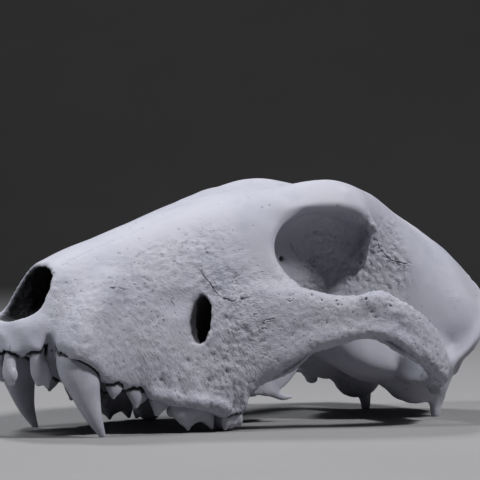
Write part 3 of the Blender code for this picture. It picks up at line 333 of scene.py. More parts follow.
# Upper teeth of the side y > 0. Root: rows x, y, z, half-size along x, half-size across,
# from its tip to just past the neck. Crown: shapes with the radius of their blend.
def teeth():
    yield "incisor_1", ((-100.6, 2.8, 35.0, 0.9, 0.8), (-103.2, 3.0, 33.0, 1.5, 1.3), (-105.6, 3.2, 29.8, 2.0, 1.7), (-106.6, 3.4, 27.0, 2.1, 2.0)), (
        (tube(((-105.4, 3.2, 30.2, 1.9, 1.7), (-107.0, 3.3, 25.8, 2.1, 2.1), (-107.4, 3.2, 22.2, 1.8, 2.3), (-107.2, 3.2, 19.2, 0.7, 1.8)), up=X), 1.0),
        (ball((-107.2, 1.6, 21.6), (1.2, 0.8, 1.8)), 0.8), (ball((-107.1, 5.0, 21.8), (1.2, 0.8, 1.8)), 0.8))
    yield "incisor_2", ((-97.8, 6.6, 35.4, 0.9, 0.8), (-100.6, 7.3, 33.2, 1.6, 1.3), (-103.4, 8.0, 30.0, 2.1, 1.7), (-104.8, 8.4, 27.0, 2.3, 2.0)), (
        (tube(((-103.2, 7.9, 30.4, 2.0, 1.7), (-105.2, 8.6, 26.0, 2.2, 2.1), (-105.8, 8.9, 21.4, 2.1, 2.8), (-105.2, 8.9, 18.0, 0.8, 2.3)), up=X), 1.0),
        (ball((-105.7, 7.1, 20.8), (1.3, 0.7, 2.0)), 0.8), (ball((-105.2, 11.2, 21.0), (1.3, 0.8, 2.0)), 0.8))
    yield "incisor_3", ((-91.4, 11.9, 37.6, 1.1, 1.0), (-94.0, 12.2, 34.8, 1.9, 1.5), (-96.4, 12.6, 31.4, 2.2, 1.9), (-97.6, 12.9, 28.2, 2.4, 2.1)), (
        (tube(((-96.6, 12.6, 31.0, 2.1, 1.9), (-97.6, 12.9, 27.8, 2.5, 2.2), (-97.0, 13.2, 24.2, 2.9, 2.4), (-96.2, 13.4, 20.8, 2.6, 2.1), (-95.8, 13.5, 18.6, 1.6, 1.3)), up=X), 1.0),
        (tube(((-98.2, 12.5, 25.4, 1.5, 1.6), (-97.8, 12.6, 21.4, 1.7, 1.7), (-97.0, 12.9, 18.0, 1.0, 1.0)), up=X), 0.6),
        (tube(((-95.6, 13.8, 24.4, 1.7, 1.7), (-94.6, 14.2, 20.6, 1.8, 1.7), (-94.4, 14.2, 17.2, 0.9, 0.9)), up=X), 0.6))
    yield "canine", ((-73.6, 14.4, 49.0, 2.2, 1.7), (-79.2, 16.0, 44.6, 4.0, 2.5), (-84.0, 18.0, 38.0, 5.3, 3.4), (-86.6, 20.0, 30.6, 6.4, 4.3), (-87.2, 21.4, 24.0, 6.9, 4.7)), (
        (tube(((-84.0, 18.0, 38.0, 5.2, 3.4), (-86.6, 20.0, 30.6, 6.5, 4.3), (-87.2, 21.4, 24.0, 7.1, 4.9), (-85.2, 22.4, 17.3, 5.9, 4.3), (-84.0, 22.9, 13.0, 4.7, 3.5),
               (-82.1, 23.4, 7.4, 3.1, 2.5), (-80.0, 23.6, 3.1, 1.9, 1.5), (-78.2, 23.5, -0.2, 0.9, 0.8)), up=X, n=28, steps=50, caps=(None, 0.8)), 0.0),)
    yield "premolar_1", ((-71.6, 19.8, 27.0, 1.1, 1.0), (-72.4, 20.6, 22.0, 1.8, 1.4), (-73.0, 21.4, 17.6, 2.4, 1.7)), (
        (tube(((-72.6, 20.8, 21.0, 1.9, 1.5), (-73.0, 21.6, 17.2, 3.3, 2.1), (-73.3, 22.0, 15.0, 2.6, 1.6), (-73.6, 22.1, 13.0, 0.8, 0.7)), up=X), 0.0),)
    yield "premolar_2", ((-62.8, 19.4, 26.0, 2.2, 1.1), (-63.4, 20.4, 20.0, 3.4, 1.6), (-63.8, 21.3, 15.0, 4.2, 1.9)), (
        (tube(((-63.5, 20.6, 19.5, 3.3, 1.7), (-63.9, 21.4, 14.8, 4.3, 2.2), (-64.2, 21.8, 12.4, 3.4, 1.8), (-64.8, 21.9, 9.6, 1.0, 0.9)), up=X), 0.0),
        (ball((-61.5, 21.6, 12.6), (1.2, 1.1, 1.4)), 1.2))
    yield "premolar_3", ((-55.2, 20.9, 24.0, 2.0, 1.3), (-55.8, 22.0, 17.0, 3.0, 1.8), (-56.3, 23.0, 12.4, 3.5, 2.1)), (
        (tube(((-56.0, 22.2, 16.6, 3.1, 1.9), (-56.4, 23.2, 12.2, 3.6, 2.4), (-56.7, 23.6, 9.8, 3.1, 2.1), (-57.3, 23.7, 7.0, 1.2, 1.1)), up=X), 0.0),
        (ball((-54.4, 23.5, 9.8), (1.3, 1.2, 1.5)), 1.2))
    yield "premolar_4", ((-43.8, 22.4, 24.0, 4.8, 1.8), (-44.6, 24.0, 15.0, 7.2, 2.5), (-45.0, 25.4, 9.0, 8.0, 3.1)), (
        (tube(((-44.8, 24.6, 13.0, 7.4, 2.7), (-44.9, 25.7, 9.4, 8.3, 3.4), (-44.7, 26.2, 7.0, 7.8, 3.0), (-44.4, 26.3, 5.2, 6.4, 2.2)), up=X, n=28), 0.0),
        (tube(((-47.0, 26.0, 7.6, 3.8, 2.8), (-46.8, 26.3, 3.6, 2.3, 1.8), (-46.6, 26.3, 1.4, 0.8, 0.7)), up=X), 1.4),
        (tube(((-40.0, 26.6, 6.9, 3.0, 2.0), (-38.6, 27.2, 3.8, 2.2, 1.4), (-37.8, 27.5, 1.5, 0.8, 0.7)), up=X), 1.4),
        (ball((-51.0, 22.9, 7.4), (1.8, 1.8, 2.0)), 1.4))
    yield "molar_1", ((-30.4, 23.4, 19.0, 3.0, 3.4), (-30.6, 24.2, 10.0, 3.9, 4.8), (-30.8, 25.0, 5.6, 4.6, 6.6)), (
        (tube(((-30.6, 24.3, 8.8, 3.9, 4.9), (-30.8, 25.0, 5.6, 4.6, 6.6), (-30.8, 25.1, 4.0, 4.1, 6.0)), up=X, n=28), 0.0),
        (tube(((-32.8, 29.0, 5.8, 2.5, 2.4), (-33.2, 29.2, 2.8, 1.7, 1.6), (-33.4, 29.2, 1.0, 0.8, 0.7)), up=X), 1.0),
        (tube(((-28.0, 28.8, 5.2, 1.9, 1.9), (-27.4, 29.0, 3.2, 1.3, 1.3), (-27.1, 29.0, 1.8, 0.6, 0.6)), up=X), 1.0),
        (tube(((-31.0, 21.2, 5.4, 2.6, 2.5), (-31.2, 21.0, 2.8, 1.1, 1.1)), up=X), 1.2))
    yield "molar_2", ((-23.6, 21.4, 19.0, 1.5, 2.0), (-23.4, 22.0, 13.0, 2.0, 3.0), (-23.4, 22.6, 9.4, 2.6, 4.0)), (
        (tube(((-23.4, 22.2, 12.0, 2.1, 3.2), (-23.4, 22.6, 9.2, 2.6, 4.1), (-23.4, 22.7, 7.6, 2.2, 3.5)), up=X), 0.0),
        (ball((-24.0, 24.8, 7.0), (1.5, 1.6, 1.8)), 1.0), (ball((-23.0, 20.8, 7.6), (1.4, 1.5, 1.5)), 1.0))


def tooth_field(root, crown, h):
    """One tooth: its root and its crown. The flat where it meets the table is cut after."""
    points = np.concatenate([tube(root, up=X)[0]] + [shape[0] for shape, _ in crown])
    field = Field(points.min(0) - 2 - 2 * h, points.max(0) + 2 + 2 * h, h)
    for k, (shape, blend) in enumerate(crown):
        field.add(shape, blend if k else 0.0)
    field.add(tube(root, up=X, n=24), 0.6)
    return field


def socket(root, deep=0.5, mouth=0.95, past=5.0):
    """The hole that a root stands in, flared at the mouth and carried out past the bone."""
    rows = np.array(root, float)
    t = np.linspace(0, 1, len(rows))[:, None] ** 2
    rows[:, 3:5] += deep + (mouth - deep) * t
    out = rows[-1, :3] - rows[-2, :3]
    out /= np.linalg.norm(out)
    end = rows[-1].copy()
    end[:3] += out * past
    rows[0, :3] -= (rows[1, :3] - rows[0, :3]) / np.linalg.norm(rows[1, :3] - rows[0, :3]) * deep
    return tube(np.vstack([rows, end]), up=X, n=24, caps=(None, 0.0))


def cranium(h):
    bone = Field((-112, 0, -3), (108, 62, 94), h, True)
    bone.add(hull(FACE, 1.0, 2.0, 4.0, per_span=10))
    bone.cut(tube(((10.5, 12, 62.4, 22.5, 15.0), (9.7, 28, 62.4, 23.3, 15.0), (7.8, 60, 62.4, 25.2, 16.0)), up=X, n=60, caps=(3.0, 2.0)), 5.0)    # orbit
    bone.add(hull(VAULT, 1.0, 4.0, 6.0, per_span=10), 3.0)
    for shape, blend in outgrowths():
        bone.add(shape, blend)
    for shape, blend in dips():
        bone.cut(shape, blend)
    bone.filled = bone.d.copy()         # as it is before the deep hollows
    for shape, blend in hollows():
        bone.cut(shape, blend)
    bone.holes = np.full(bone.shape, BAND, np.float32)          # how far each place is from a socket
    for _, root, _ in teeth():
        bone.cut(socket(root), 0.25)
        where, far = bone.block(socket(root))
        bone.holes[where] = np.minimum(bone.holes[where], far)
    return bone


def sample(bone, values, points):
    """The lattice's values at points of the finished bone, on either side of it."""
    lift = points[:, 1] * LEAN * ramp(30, 80, points[:, 2])
    p = np.column_stack([points[:, 0], abs(points[:, 1]), points[:, 2] - lift]) - bone.shift
    q = p / bone.h - bone.i0
    i = np.clip(np.floor(q).astype(int), 0, np.array(bone.shape) - 2)
    f = np.clip(q - i, 0, 1)
    total = 0
    for c in ((0, 0, 0), (1, 0, 0), (0, 1, 0), (0, 0, 1), (1, 1, 0), (1, 0, 1), (0, 1, 1), (1, 1, 1)):
        c = np.array(c)
        total = total + np.where(c, f, 1 - f).prod(1) * values[tuple((i + c).T)]
    return total


# ---------------------------------------------------------------- noise
CORNERS = np.array([(x, y, z) for x in (0, 1) for y in (0, 1) for z in (0, 1)])
EDGES = np.array([(1, 1, 0), (-1, 1, 0), (1, -1, 0), (-1, -1, 0), (1, 0, 1), (-1, 0, 1), (1, 0, -1), (-1, 0, -1),
                  (0, 1, 1), (0, -1, 1), (0, 1, -1), (0, -1, -1), (1, 1, 0), (-1, 1, 0), (0, -1, 1), (0, -1, -1)], np.float32)


def scatter(i, seed):
    """A well-mixed whole number for each lattice cell."""
    h = (i[:, 0] * 73856093) ^ (i[:, 1] * 19349663) ^ (i[:, 2] * 83492791) ^ (seed * 26544357)
    h = (h & 0xffffffff)
    h = ((h ^ (h >> 16)) * 0x45d9f3b) & 0xffffffff
    h = ((h ^ (h >> 16)) * 0x45d9f3b) & 0xffffffff
    return h ^ (h >> 16)


def noise(points, size, seed=0):
    """Smooth gradient noise, about -1 to 1, with features of the stated size in millimetres."""
    p = np.asarray(points) / size
    i = np.floor(p).astype(np.int64)
    f = (p - i).astype(np.float32)
    w = f * f * f * (f * (f * 6 - 15) + 10)
    total = np.zeros(len(p), np.float32)
    for c in CORNERS:
        g = EDGES[scatter(i + c, seed) & 15]
        part = np.where(c, w, 1 - w).prod(1)
        total += part * ((f - c.astype(np.float32)) * g).sum(1)
    return total * 1.4


def layers(points, size, seed=0, n=3, keep=0.5):
    """Noise in n octaves."""
    return sum(noise(points, size / 2 ** k, seed + 17 * k) * keep ** k for k in range(n))


def ramp(low, high, x):
    t = np.clip((x - low) / (high - low), 0, 1)
    return t * t * (3 - 2 * t)


# ---------------------------------------------------------------- the sight lines of the camera
RIGHT = np.array((math.cos(TURN), -math.sin(TURN), 0.0))
AHEAD = np.array((math.sin(TURN), math.cos(TURN), 0.0))
UP = np.array((0.0, 0.0, 1.0))


def seen(tree, u, v):
    """The point of the bone on the sight line through (u, v) of the 480-pixel frame, or None."""
    way = AHEAD * FOCUS + RIGHT * (u - 240) - UP * (v - 240)
    way = Vector(way / np.linalg.norm(way))
    hit = tree.ray_cast(Vector(EYE), way, 3000.0)
    return None if hit[0] is None else np.array(hit[0])


# ---------------------------------------------------------------- meshes
def mesh_object(name, points, faces, looks):
    """An object in the part's frame, in metres, from points in the sections' frame."""
    mesh = bpy.data.meshes.new(name)
    mesh.from_pydata(((np.asarray(points) + (SHIFT_X, 0, 0)) / 1000).tolist(), [], faces)
    mesh.validate()
    shape = bmesh.new()
    shape.from_mesh(mesh)
    bmesh.ops.recalc_face_normals(shape, faces=shape.faces)
    if shape.calc_volume(signed=True) < 0:
        bmesh.ops.reverse_faces(shape, faces=shape.faces)
    shape.to_mesh(mesh)
    shape.free()
    mesh.shade_smooth()
    for look in looks:
        mesh.materials.append(look)
    thing = bpy.data.objects.new(name, mesh)
    bpy.context.scene.collection.objects.link(thing)
    return thing


# ---------------------------------------------------------------- the bone's relief
# Lie of the fine grain on the side of the skull: a place in the frame (u, v) and the angle
# there, in degrees below the horizontal towards the right.
LIE = ((60, 300, 8), (90, 290, 10), (120, 284, 12), (150, 280, 18), (180, 262, 4), (220, 250, 0), (255, 262, -4), (258, 285, -12),
       (75, 330, 35), (105, 330, 42), (140, 330, 50), (170, 320, 52), (80, 350, 42), (120, 370, 50), (160, 370, 58),
       (185, 360, 66), (180, 390, 62), (215, 390, 68), (222, 345, 72), (230, 372, 64), (225, 310, 55), (244, 300, 15), (245, 330, 48),
       (240, 395, 80), (262, 322, -22), (285, 300, -30), (300, 316, -18), (280, 335, -14), (330, 312, 8), (360, 320, 25), (400, 330, 35),
       (425, 350, 20), (438, 372, 60), (350, 275, -62), (375, 265, -60), (395, 285, -30), (420, 300, 10), (310, 190, 0), (150, 240, -12), (330, 365, 12))


def lie_weights(tree, points):
    """How much each of six fixed directions, 30 degrees apart, takes part in the grain at each point."""
    places, angles = [], []
    for u, v, a in LIE:
        hit = seen(tree, u, v)
        if hit is not None:
            places.append(hit * (1, -1, 1))
            angles.append(math.radians(a))
    places, angles = np.array(places), np.array(angles)
    p = points * (1, 0, 1) + np.abs(points) * (0, 1, 0)
    c = s = 0
    for place, a in zip(places, angles):
        w = 1 / (((p - place) ** 2).sum(1) + 30.0) ** 1.5
        c, s = c + w * math.cos(2 * a), s + w * math.sin(2 * a)
    angle = np.arctan2(s, c) / 2
    k = np.arange(6) * math.pi / 6
    w = np.cos(angle[:, None] - k) ** 2
    w = w ** 8
    return w / w.sum(1)[:, None]


def grain(points, weights, width, length, seed):
    """Noise drawn out along the lie of the grain."""
    total = np.zeros(len(points), np.float32)
    for k in range(6):
        a = k * math.pi / 6
        along = RIGHT * math.cos(a) / 0.83 * (1, 0, 0) - UP * math.sin(a)
        along = np.array((math.cos(a), 0.0, -math.sin(a)))
        q = points / width
        q = q - np.outer(q @ along, along) * (1 - width / length)
        total += weights[:, k] * noise(q, 1.0, seed + 5 * k)
    return total


def regions(p, n):
    """Where the bone is smooth, grained, pored or coarse, from place and facing."""
    x, y, z = p[:, 0], abs(p[:, 1]), p[:, 2]
    top = ramp(0.45, 0.85, n[:, 2]) * ramp(34, 46, z)
    under = ramp(0.35, 0.75, -n[:, 2]) * (1 - ramp(20, 34, z))
    arch = ramp(36, 44, y) * ramp(-26, -8, x) * (1 - ramp(50, 58, x)) * (1 - ramp(54, 60, z))
    cheek = ramp(-46, -30, x) * (1 - ramp(-14, 2, x)) * (1 - ramp(52, 60, z)) * (1 - arch)
    fossa = ramp(2, 14, x) * (1 - ramp(44, 56, x)) * (1 - ramp(70, 78, z)) * (1 - ramp(32, 40, y)) * ramp(40, 52, z)
    orbit = ramp(-22, -12, x) * (1 - ramp(4, 14, x)) * (1 - ramp(37, 41, y)) * ramp(42, 50, z) * (1 - top)
    brain = ramp(38, 54, x) * (1 - arch)
    brow = ramp(-20, 0, x) * (1 - ramp(34, 46, x)) * ramp(74, 80, z)
    muzzle = (1 - ramp(-40, -16, x)) * (1 - top) * (1 - under)
    rim = 1 - ramp(-101, -88, x)
    return dict(top=top, under=under, arch=arch, cheek=cheek, fossa=fossa, orbit=orbit, brain=brain, brow=brow, muzzle=muzzle, rim=rim)


def sweep_lines(line, step=0.35):
    """Points at even steps along a polyline, with the share of its length that lies behind each."""
    line = np.asarray(line, float)
    d = np.r_[0, np.cumsum(np.linalg.norm(np.diff(line, axis=0), axis=1))]
    at = np.linspace(0, d[-1], max(int(d[-1] / step), 2))
    return np.column_stack([np.interp(at, d, line[:, c]) for c in range(line.shape[1])]), at / d[-1]


# Cracks and sutures seen in the frame: (places (u, v), half-width and depth in millimetres, raised lip on the lower side).
CRACKS = (
    (((200.6, 270.4), (204, 276), (207.6, 280.2), (211.2, 284.6), (214.4, 290), (217.8, 294), (221.2, 298.4)), 0.42, 0.62, 0.22),
    (((221.2, 298.4), (225.9, 298.0), (229.0, 300.2), (232.3, 301.6), (235.0, 300.6), (237.2, 297.8), (240.5, 299.6), (244.0, 298.0), (250.5, 298.0)), 0.45, 0.60, 0.12),
    (((290.0, 240.6), (291.4, 246), (292.9, 249.6), (296.2, 253.6), (298.6, 258.2), (300.0, 261.6), (302.6, 263.8)), 0.36, 0.55, 0.20),
    (((302.6, 263.8), (306.0, 262.2), (309.6, 263.6), (313.4, 262.4)), 0.34, 0.45, 0.10),
    (((302.6, 263.8), (305.4, 267.2), (309.0, 267.4), (311.8, 268.6)), 0.28, 0.30, 0.06),
    (((376.6, 240.6), (378.6, 245.6), (380.4, 249.8), (384.0, 253.6), (388.0, 257.8), (391.4, 260.6), (395.0, 261.0), (399.6, 262.6), (404.6, 263.6), (409.0, 262.8), (414.4, 264.4)), 0.40, 0.62, 0.20),
    (((394.0, 264.2), (399.0, 267.4), (403.6, 268.6), (406.6, 266.0), (410.4, 267.2)), 0.30, 0.35, 0.08),
    (((109.4, 286.6), (113.0, 288.0), (118.6, 287.6), (122.6, 289.2), (127.8, 289.0)), 0.42, 0.42, 0.14),
    (((126.8, 282.8), (130.6, 284.8), (134.2, 284.0), (138.0, 286.0), (142.0, 285.2)), 0.40, 0.40, 0.12),
    (((99.0, 272.4), (103.6, 275.0), (108.8, 277.2), (113.4, 280.8)), 0.34, 0.28, 0.10),
    (((91.6, 267.2), (97.0, 264.0), (104.0, 262.4), (112.0, 263.4)), 0.30, 0.22, 0.08),
    (((86.0, 269.6), (88.2, 268.6)), 0.36, 0.30, 0.0),
    (((140.0, 276.4), (143.6, 277.8), (146.4, 280.2)), 0.34, 0.30, 0.06),
    (((170.6, 300.2), (172.8, 303.0), (175.0, 306.2)), 0.40, 0.45, 0.10),
    (((234.0, 248.0), (239.6, 250.0), (245.4, 249.2)), 0.32, 0.24, 0.10),
    (((448.6, 299.6), (452.0, 297.6), (455.8, 298.4), (461.6, 296.0)), 0.32, 0.30, 0.08),
    (((262.4, 321.6), (267.0, 319.0), (271.4, 319.4), (276.0, 316.8)), 0.42, 0.40, 0.12),
    (((258.0, 331.0), (263.0, 328.6), (268.4, 328.4)), 0.40, 0.30, 0.10),
    (((286.0, 300.0), (289.6, 301.6), (293.8, 299.4)), 0.36, 0.26, 0.08),
)
# Sutures that the frame doesn't show, in the sections' frame: (x, y, z) along them, cast down or inwards.
SUTURES = (
    (((-95, 0, 60), (-60, 0, 90), (-20, 0, 110), (16, 0, 110)), (0, 0, -1), 0.30, 0.20),            # between the nasal and the frontal bones
    (((-93, 9.5, 80), (-70, 8.6, 100), (-45, 8.0, 100), (-24, 4.0, 110), (-17, 0, 110)), (0, 0, -1), 0.28, 0.16),   # along the nasal bone
    (((44, 0, 110), (46, 8, 110), (42, 16, 110), (46, 22, 110)), (0, 0, -1), 0.30, 0.20),             # coronal
    (((-95, 0, -20), (-60, 0, -20), (-28, 0, -20)), (0, 0, 1), 0.34, 0.30),                            # down the palate
    (((-43, 0, -20), (-45, 7, -20), (-42, 14, -20), (-37, 19, -20)), (0, 0, 1), 0.30, 0.24),           # across the palate
    (((54, 0, -20), (54, 8, -20), (55, 13, -20)), (0, 0, 1), 0.30, 0.22),                              # across the skull base
)
PITS = ((118.4, 253.0, 0.4, 0.4), (282.6, 258.8, 1.1, 1.7), (312.0, 295.0, 0.32, 0.35), (366.0, 298.6, 0.34, 0.35),
        (336.6, 301.0, 0.32, 0.35), (420.0, 318.6, 0.55, 0.5), (390.6, 305.4, 0.36, 0.4), (322.6, 300.4, 0.3, 0.3), (207.4, 252.4, 0.3, 0.3),
        (232.6, 230.4, 0.3, 0.3), (161.0, 253.8, 0.36, 0.3), (174.0, 262.0, 0.34, 0.3), (58.0, 300.6, 0.36, 0.36), (121.0, 253.4, 0.3, 0.3),
        (97.0, 258.4, 0.35, 0.3), (127.0, 249.4, 0.3, 0.3), (196.0, 243.0, 0.3, 0.3), (252.4, 226.0, 0.3, 0.3), (270.0, 205.0, 0.3, 0.25))
# Broad dimples and, where the depth is negative, low swellings: (u, v, radius, depth).
DIMPLES = ((163, 314, 5.5, 0.55), (100, 331, 5.0, 0.45), (209, 382, 2.8, 0.85), (258, 313, 3.2, 0.35), (106, 301, 3.6, -0.30),
           (187, 379, 3.8, -0.40), (140, 352, 5.0, 0.25), (232, 352, 4.5, 0.30), (128, 322, 4.0, -0.25), (284.8, 260.4, 2.6, 0.9))


def refine(shape, tree, wanted):
    """Splits the faces that lie within reach of the wanted (place, reach) pairs."""
    for share in (1.0, 0.6):
        verts = shape.verts
        verts.ensure_lookup_table()
        kd = KDTree(len(verts))
        for i, v in enumerate(verts):
            kd.insert(v.co, i)
        kd.balance()
        chosen = set()
        for place, reach in wanted:
            for _, i, _ in kd.find_range(Vector(place), reach * share):
                chosen.add(i)
        edges = set()
        for i in chosen:
            for e in verts[i].link_edges:
                edges.add(e)
        bmesh.ops.subdivide_edges(shape, edges=list(edges), cuts=1, use_grid_fill=True, smooth=0.0)
        bmesh.ops.triangulate(shape, faces=[f for f in shape.faces if len(f.verts) > 4])


def skull_mesh():
    """The cranium's fine mesh: the bare form, finer faces at the cracks and pits, then its relief."""
    bone = cranium(SKULL_CELL)
    points, faces = bone.surface()
    points = lean(points)
    tree = BVHTree.FromPolygons([Vector(p) for p in points.tolist()], faces)

    lines = []          # (points on the bone, half-width, depth, lip)
    rng = np.random.default_rng(7)

    def lay(place, way):
        hit = tree.ray_cast(Vector(place), Vector(way), 400.0)
        return None if hit[0] is None else np.array(hit[0])

    for places, wide, deep, lip in CRACKS:
        wide, deep = wide * 0.55, deep * 0.8
        at, share = sweep_lines(places, 0.6)
        on = [(seen(tree, u, v), s) for (u, v), s in zip(at, share)]
        on = [(p, s) for p, s in on if p is not None]
        if len(on) < 2:
            continue
        path = np.array([p for p, _ in on])
        share = np.array([s for _, s in on])
        fade = np.minimum(1, np.minimum(share, 1 - share) * 5 + 0.15) * (0.45 + 0.75 * ramp(-0.4, 0.35, noise(path, 2.2, 63)))
        path = path + np.outer(0.22 * noise(path, 1.1, 64), UP)
        lines.append((path, wide, deep * fade, lip * fade))
        # the same seam on the other side, a little different
        other = []
        shift = rng.normal(0, 0.5, 3)
        for q in path:
            wobble = 0.35 * noise(q[None] * (1, -1, 1) + 50, 3.0, 9)[0]
            hit = lay(q * (1, 0, 1) + (shift[0] + wobble, 90, shift[2] + wobble), (0, -1, 0))
            if hit is not None and abs(hit[1] + q[1]) < 6:
                other.append(hit)
        if len(other) > 2:
            lines.append((np.array(other), wide * 0.9, deep * 0.8 * np.ones(len(other)), lip * np.ones(len(other)) * 0.8))
    for places, way, wide, deep in SUTURES:
        for side in ((1, -1) if max(abs(p[1]) for p in places) > 0 else (1,)):
            at, share = sweep_lines(places, 0.4)
            zig = np.column_stack([noise(at * (1, 1, 0) + 7 * side, 1.7, 3), noise(at * (1, 1, 0) + 9 * side, 1.5, 4)]) * 0.9
            path = []
            for (x, y, z), (a, b) in zip(at, zig):
                hit = lay((x + a, (y + b) * side if y else b * 0.7, z), way)
                if hit is not None:
                    path.append(hit)
            if len(path) > 3:
                lines.append((np.array(path), wide, deep * np.ones(len(path)), 0.0 * np.ones(len(path))))

    pits = []           # (place, radius, depth)
    for u, v, r, deep in PITS:
        hit = seen(tree, u, v)
        if hit is not None:
            pits.append((hit, r, deep))
            pits.append((hit * (1, -1, 1), r, deep * 0.9))

    # finer faces where there are cracks and named pits
    shape = bmesh.new()
    mesh = bpy.data.meshes.new("bare")
    mesh.from_pydata(points.tolist(), [], faces)
    shape.from_mesh(mesh)
    bpy.data.meshes.remove(mesh)
    wanted = [(p, wide + 0.7) for path, wide, _, _ in lines for p in path[::2]] + [(p, r + 0.8) for p, r, _ in pits]
    refine(shape, tree, wanted)
    shape.normal_update()
    shape.verts.ensure_lookup_table()
    p = np.array([v.co[:] for v in shape.verts])
    n = np.array([v.normal[:] for v in shape.verts])

    # ---- relief
    area = regions(p, n)
    weights = lie_weights(tree, p)
    other = p * (1, 1, 1) + np.where(p[:, 1:2] > 0, 311.0, 0.0) * (1, 1, 1)      # the other side has marks of its own
    lie_p = np.where(p[:, 1:2] > 0, other, p)
    striae = grain(lie_p, weights, 1.6, 3.8, 11) * 0.62 + grain(lie_p, weights, 0.95, 2.4, 31) * 0.5
    striae *= 0.35 + 0.95 * ramp(-0.35, 0.5, noise(lie_p, 8.0, 61))            # it comes and goes
    lumps = layers(lie_p, 2.2, 50, 2)
    broad = noise(lie_p, 14.0, 70) * 0.6 + noise(lie_p, 30.0, 71)
    grit = noise(lie_p, 1.1, 90)
    mouth = np.hypot((p[:, 0] + 51.5) / 4.0, (p[:, 2] - 39.9) / 9.2)
    calm = (1 - 0.85 * area["rim"]) * ramp(0.3, 3.0, sample(bone, bone.holes, p))         # smooth at the nose and round each socket
    calm *= 0.3 + 0.7 * ramp(0.9, 1.7, mouth)                                             # and at the rim of the canal below the eye
    amount = (area["muzzle"] * 0.28 + area["cheek"] * 0.25 + area["top"] * 0.018 + area["fossa"] * 0.20 + area["arch"] * (0.17 + 0.15 * ramp(12, 34, p[:, 0]))
              + area["brain"] * 0.03 + area["under"] * 0.07 + area["orbit"] * 0.02) * calm
    rough = (area["fossa"] * 0.46 + area["arch"] * (0.22 + 0.18 * ramp(12, 34, p[:, 0])) + area["under"] * 0.10 + area["cheek"] * 0.13 + area["muzzle"] * 0.26) * calm
    far = sample(bone, bone.holes, p)
    mottle = layers(lie_p, 5.0, 52, 2)
    move = amount * striae + rough * (lumps * 0.55 + grit * 0.75) + 0.16 * broad + 0.02 * lumps
    move += (area["muzzle"] * 0.13 + area["cheek"] * 0.09 + area["arch"] * 0.05 + area["fossa"] * 0.14 + area["top"] * 0.01 + area["brain"] * 0.05 + area["under"] * 0.08) * calm * mottle
    # the bone's edge above the cheek teeth swells over the roots and dips between them
    edge = ramp(-62, -54, p[:, 0]) * (1 - ramp(3.0, 5.2, far)) * ramp(0.4, 2.0, far) * ramp(0.2, 0.6, abs(n[:, 1])) * (1 - ramp(-16, -10, p[:, 0]))
    move += edge * (0.42 * np.cos((p[:, 0] + 45.0) * 2 * math.pi / 8.6) + 0.25 * noise(lie_p, 5.0, 57) - 0.3)
    # the arch flares a little above its lower edge, then turns under
    mid = np.interp(p[:, 0], (-36, -27, -18, -9, 0, 10, 18, 27, 33, 39, 44, 48.5), (28.6, 30.6, 33.9, 37.4, 38.0, 39.1, 38.3, 33.2, 29.8, 25.2, 21.6, 19.6))
    half = np.interp(p[:, 0], (-36, -27, -18, -9, 0, 10, 18, 27, 33, 39, 44, 48.5), (15.5, 15.6, 15.4, 12.0, 9.2, 7.7, 8.3, 8.4, 7.5, 6.3, 5.8, 5.0))
    out = np.clip(n[:, 1] * np.sign(p[:, 1]), 0, 1)
    low = (p[:, 2] - mid) / half
    here = out * ramp(-30, -14, p[:, 0]) * (1 - 0.8 * ramp(20, 36, p[:, 0])) * (1 - ramp(42, 50, p[:, 0])) * ramp(28, 36, abs(p[:, 1]))
    move += here * (0.55 * np.exp(-((low + 0.62) / 0.26) ** 2) - 0.5 * np.exp(-((low + 0.02) / 0.34) ** 2) - 1.6 * ramp(-0.78, -1.05, low))
    # painted shade: the colour darkens where the grain's grooves and the lumps sink in, as shade falls there
    painted_crease_shade = -np.minimum(amount * striae, 0) * 0.9 - np.minimum(rough * lumps, 0) * 0.45

    kd = KDTree(len(p))
    for i, q in enumerate(p):
        kd.insert(q, i)
    kd.balance()
    for u, v, r, deep in DIMPLES:
        hit = seen(tree, u, v)
        if hit is not None:
            for side in ((1, 1, 1), (1, -1, 1)):
                for _, i, d in kd.find_range(Vector(hit * side), r * 2.4):
                    move[i] -= 0.6 * deep * math.exp(-(d / r) ** 2 * 1.3)
    # scattered pores, most of them on the cheek arch
    chance = area["arch"] * 1.0 + area["cheek"] * 0.22 + area["muzzle"] * 0.24 + area["top"] * 0.02 + area["under"] * 0.14 + area["fossa"] * 0.12
    chance = chance * calm * ramp(-0.5, 0.3, noise(lie_p, 11.0, 62))
    picks = rng.permutation(len(p))[: (9000)]
    picks = picks[rng.random(len(picks)) < chance[picks]]
    sizes = rng.uniform(0.26, 0.46, len(picks)) * np.where(rng.random(len(picks)) < 0.07, 1.5, 1.0)
    pits += [(p[i], s, s * rng.uniform(0.5, 0.95)) for i, s in zip(picks, sizes)]
    for place, r, deep in pits:
        for _, i, d in kd.find_range(Vector(place), r * 2.2):
            g = math.exp(-(d / r) ** 2 * 1.6)
            move[i] -= deep * g
            # painted shade in each pit, as deep as the pit
            painted_crease_shade[i] += min(deep, 0.6) * g * 1.1
    for path, wide, deep, lip in lines:
        near, depth, lift = {}, {}, {}
        for k, q in enumerate(path):
            for _, i, d in kd.find_range(Vector(q), wide * 2.6 + 0.3):
                if d < near.get(i, 9):
                    near[i], depth[i], lift[i] = d, deep[k], lip[k]
        for i, d in near.items():
            g = math.exp(-(d / wide) ** 2 * 2.4)
            rim = math.exp(-((d - wide * 1.7) / (wide * 0.7)) ** 2)
            move[i] += -depth[i] * g + lift[i] * rim * 0.8
            # painted shade along each crack and suture, as deep as the groove
            painted_crease_shade[i] += depth[i] * g * 1.0
    floor = ramp(0.15, 1.0, p[:, 2])            # nothing grows below the flats that the skull stands on
    p = p + n * (move * floor)[:, None]
    for v, q in zip(shape.verts, p.tolist()):
        v.co = q
    # the painted shade of grooves, pits and cracks, kept for the bone's colour
    layer = shape.verts.layers.float.new("painted_crease_shade")
    for v, d in zip(shape.verts, np.clip(painted_crease_shade, 0, 1).tolist()):
        v[layer] = d
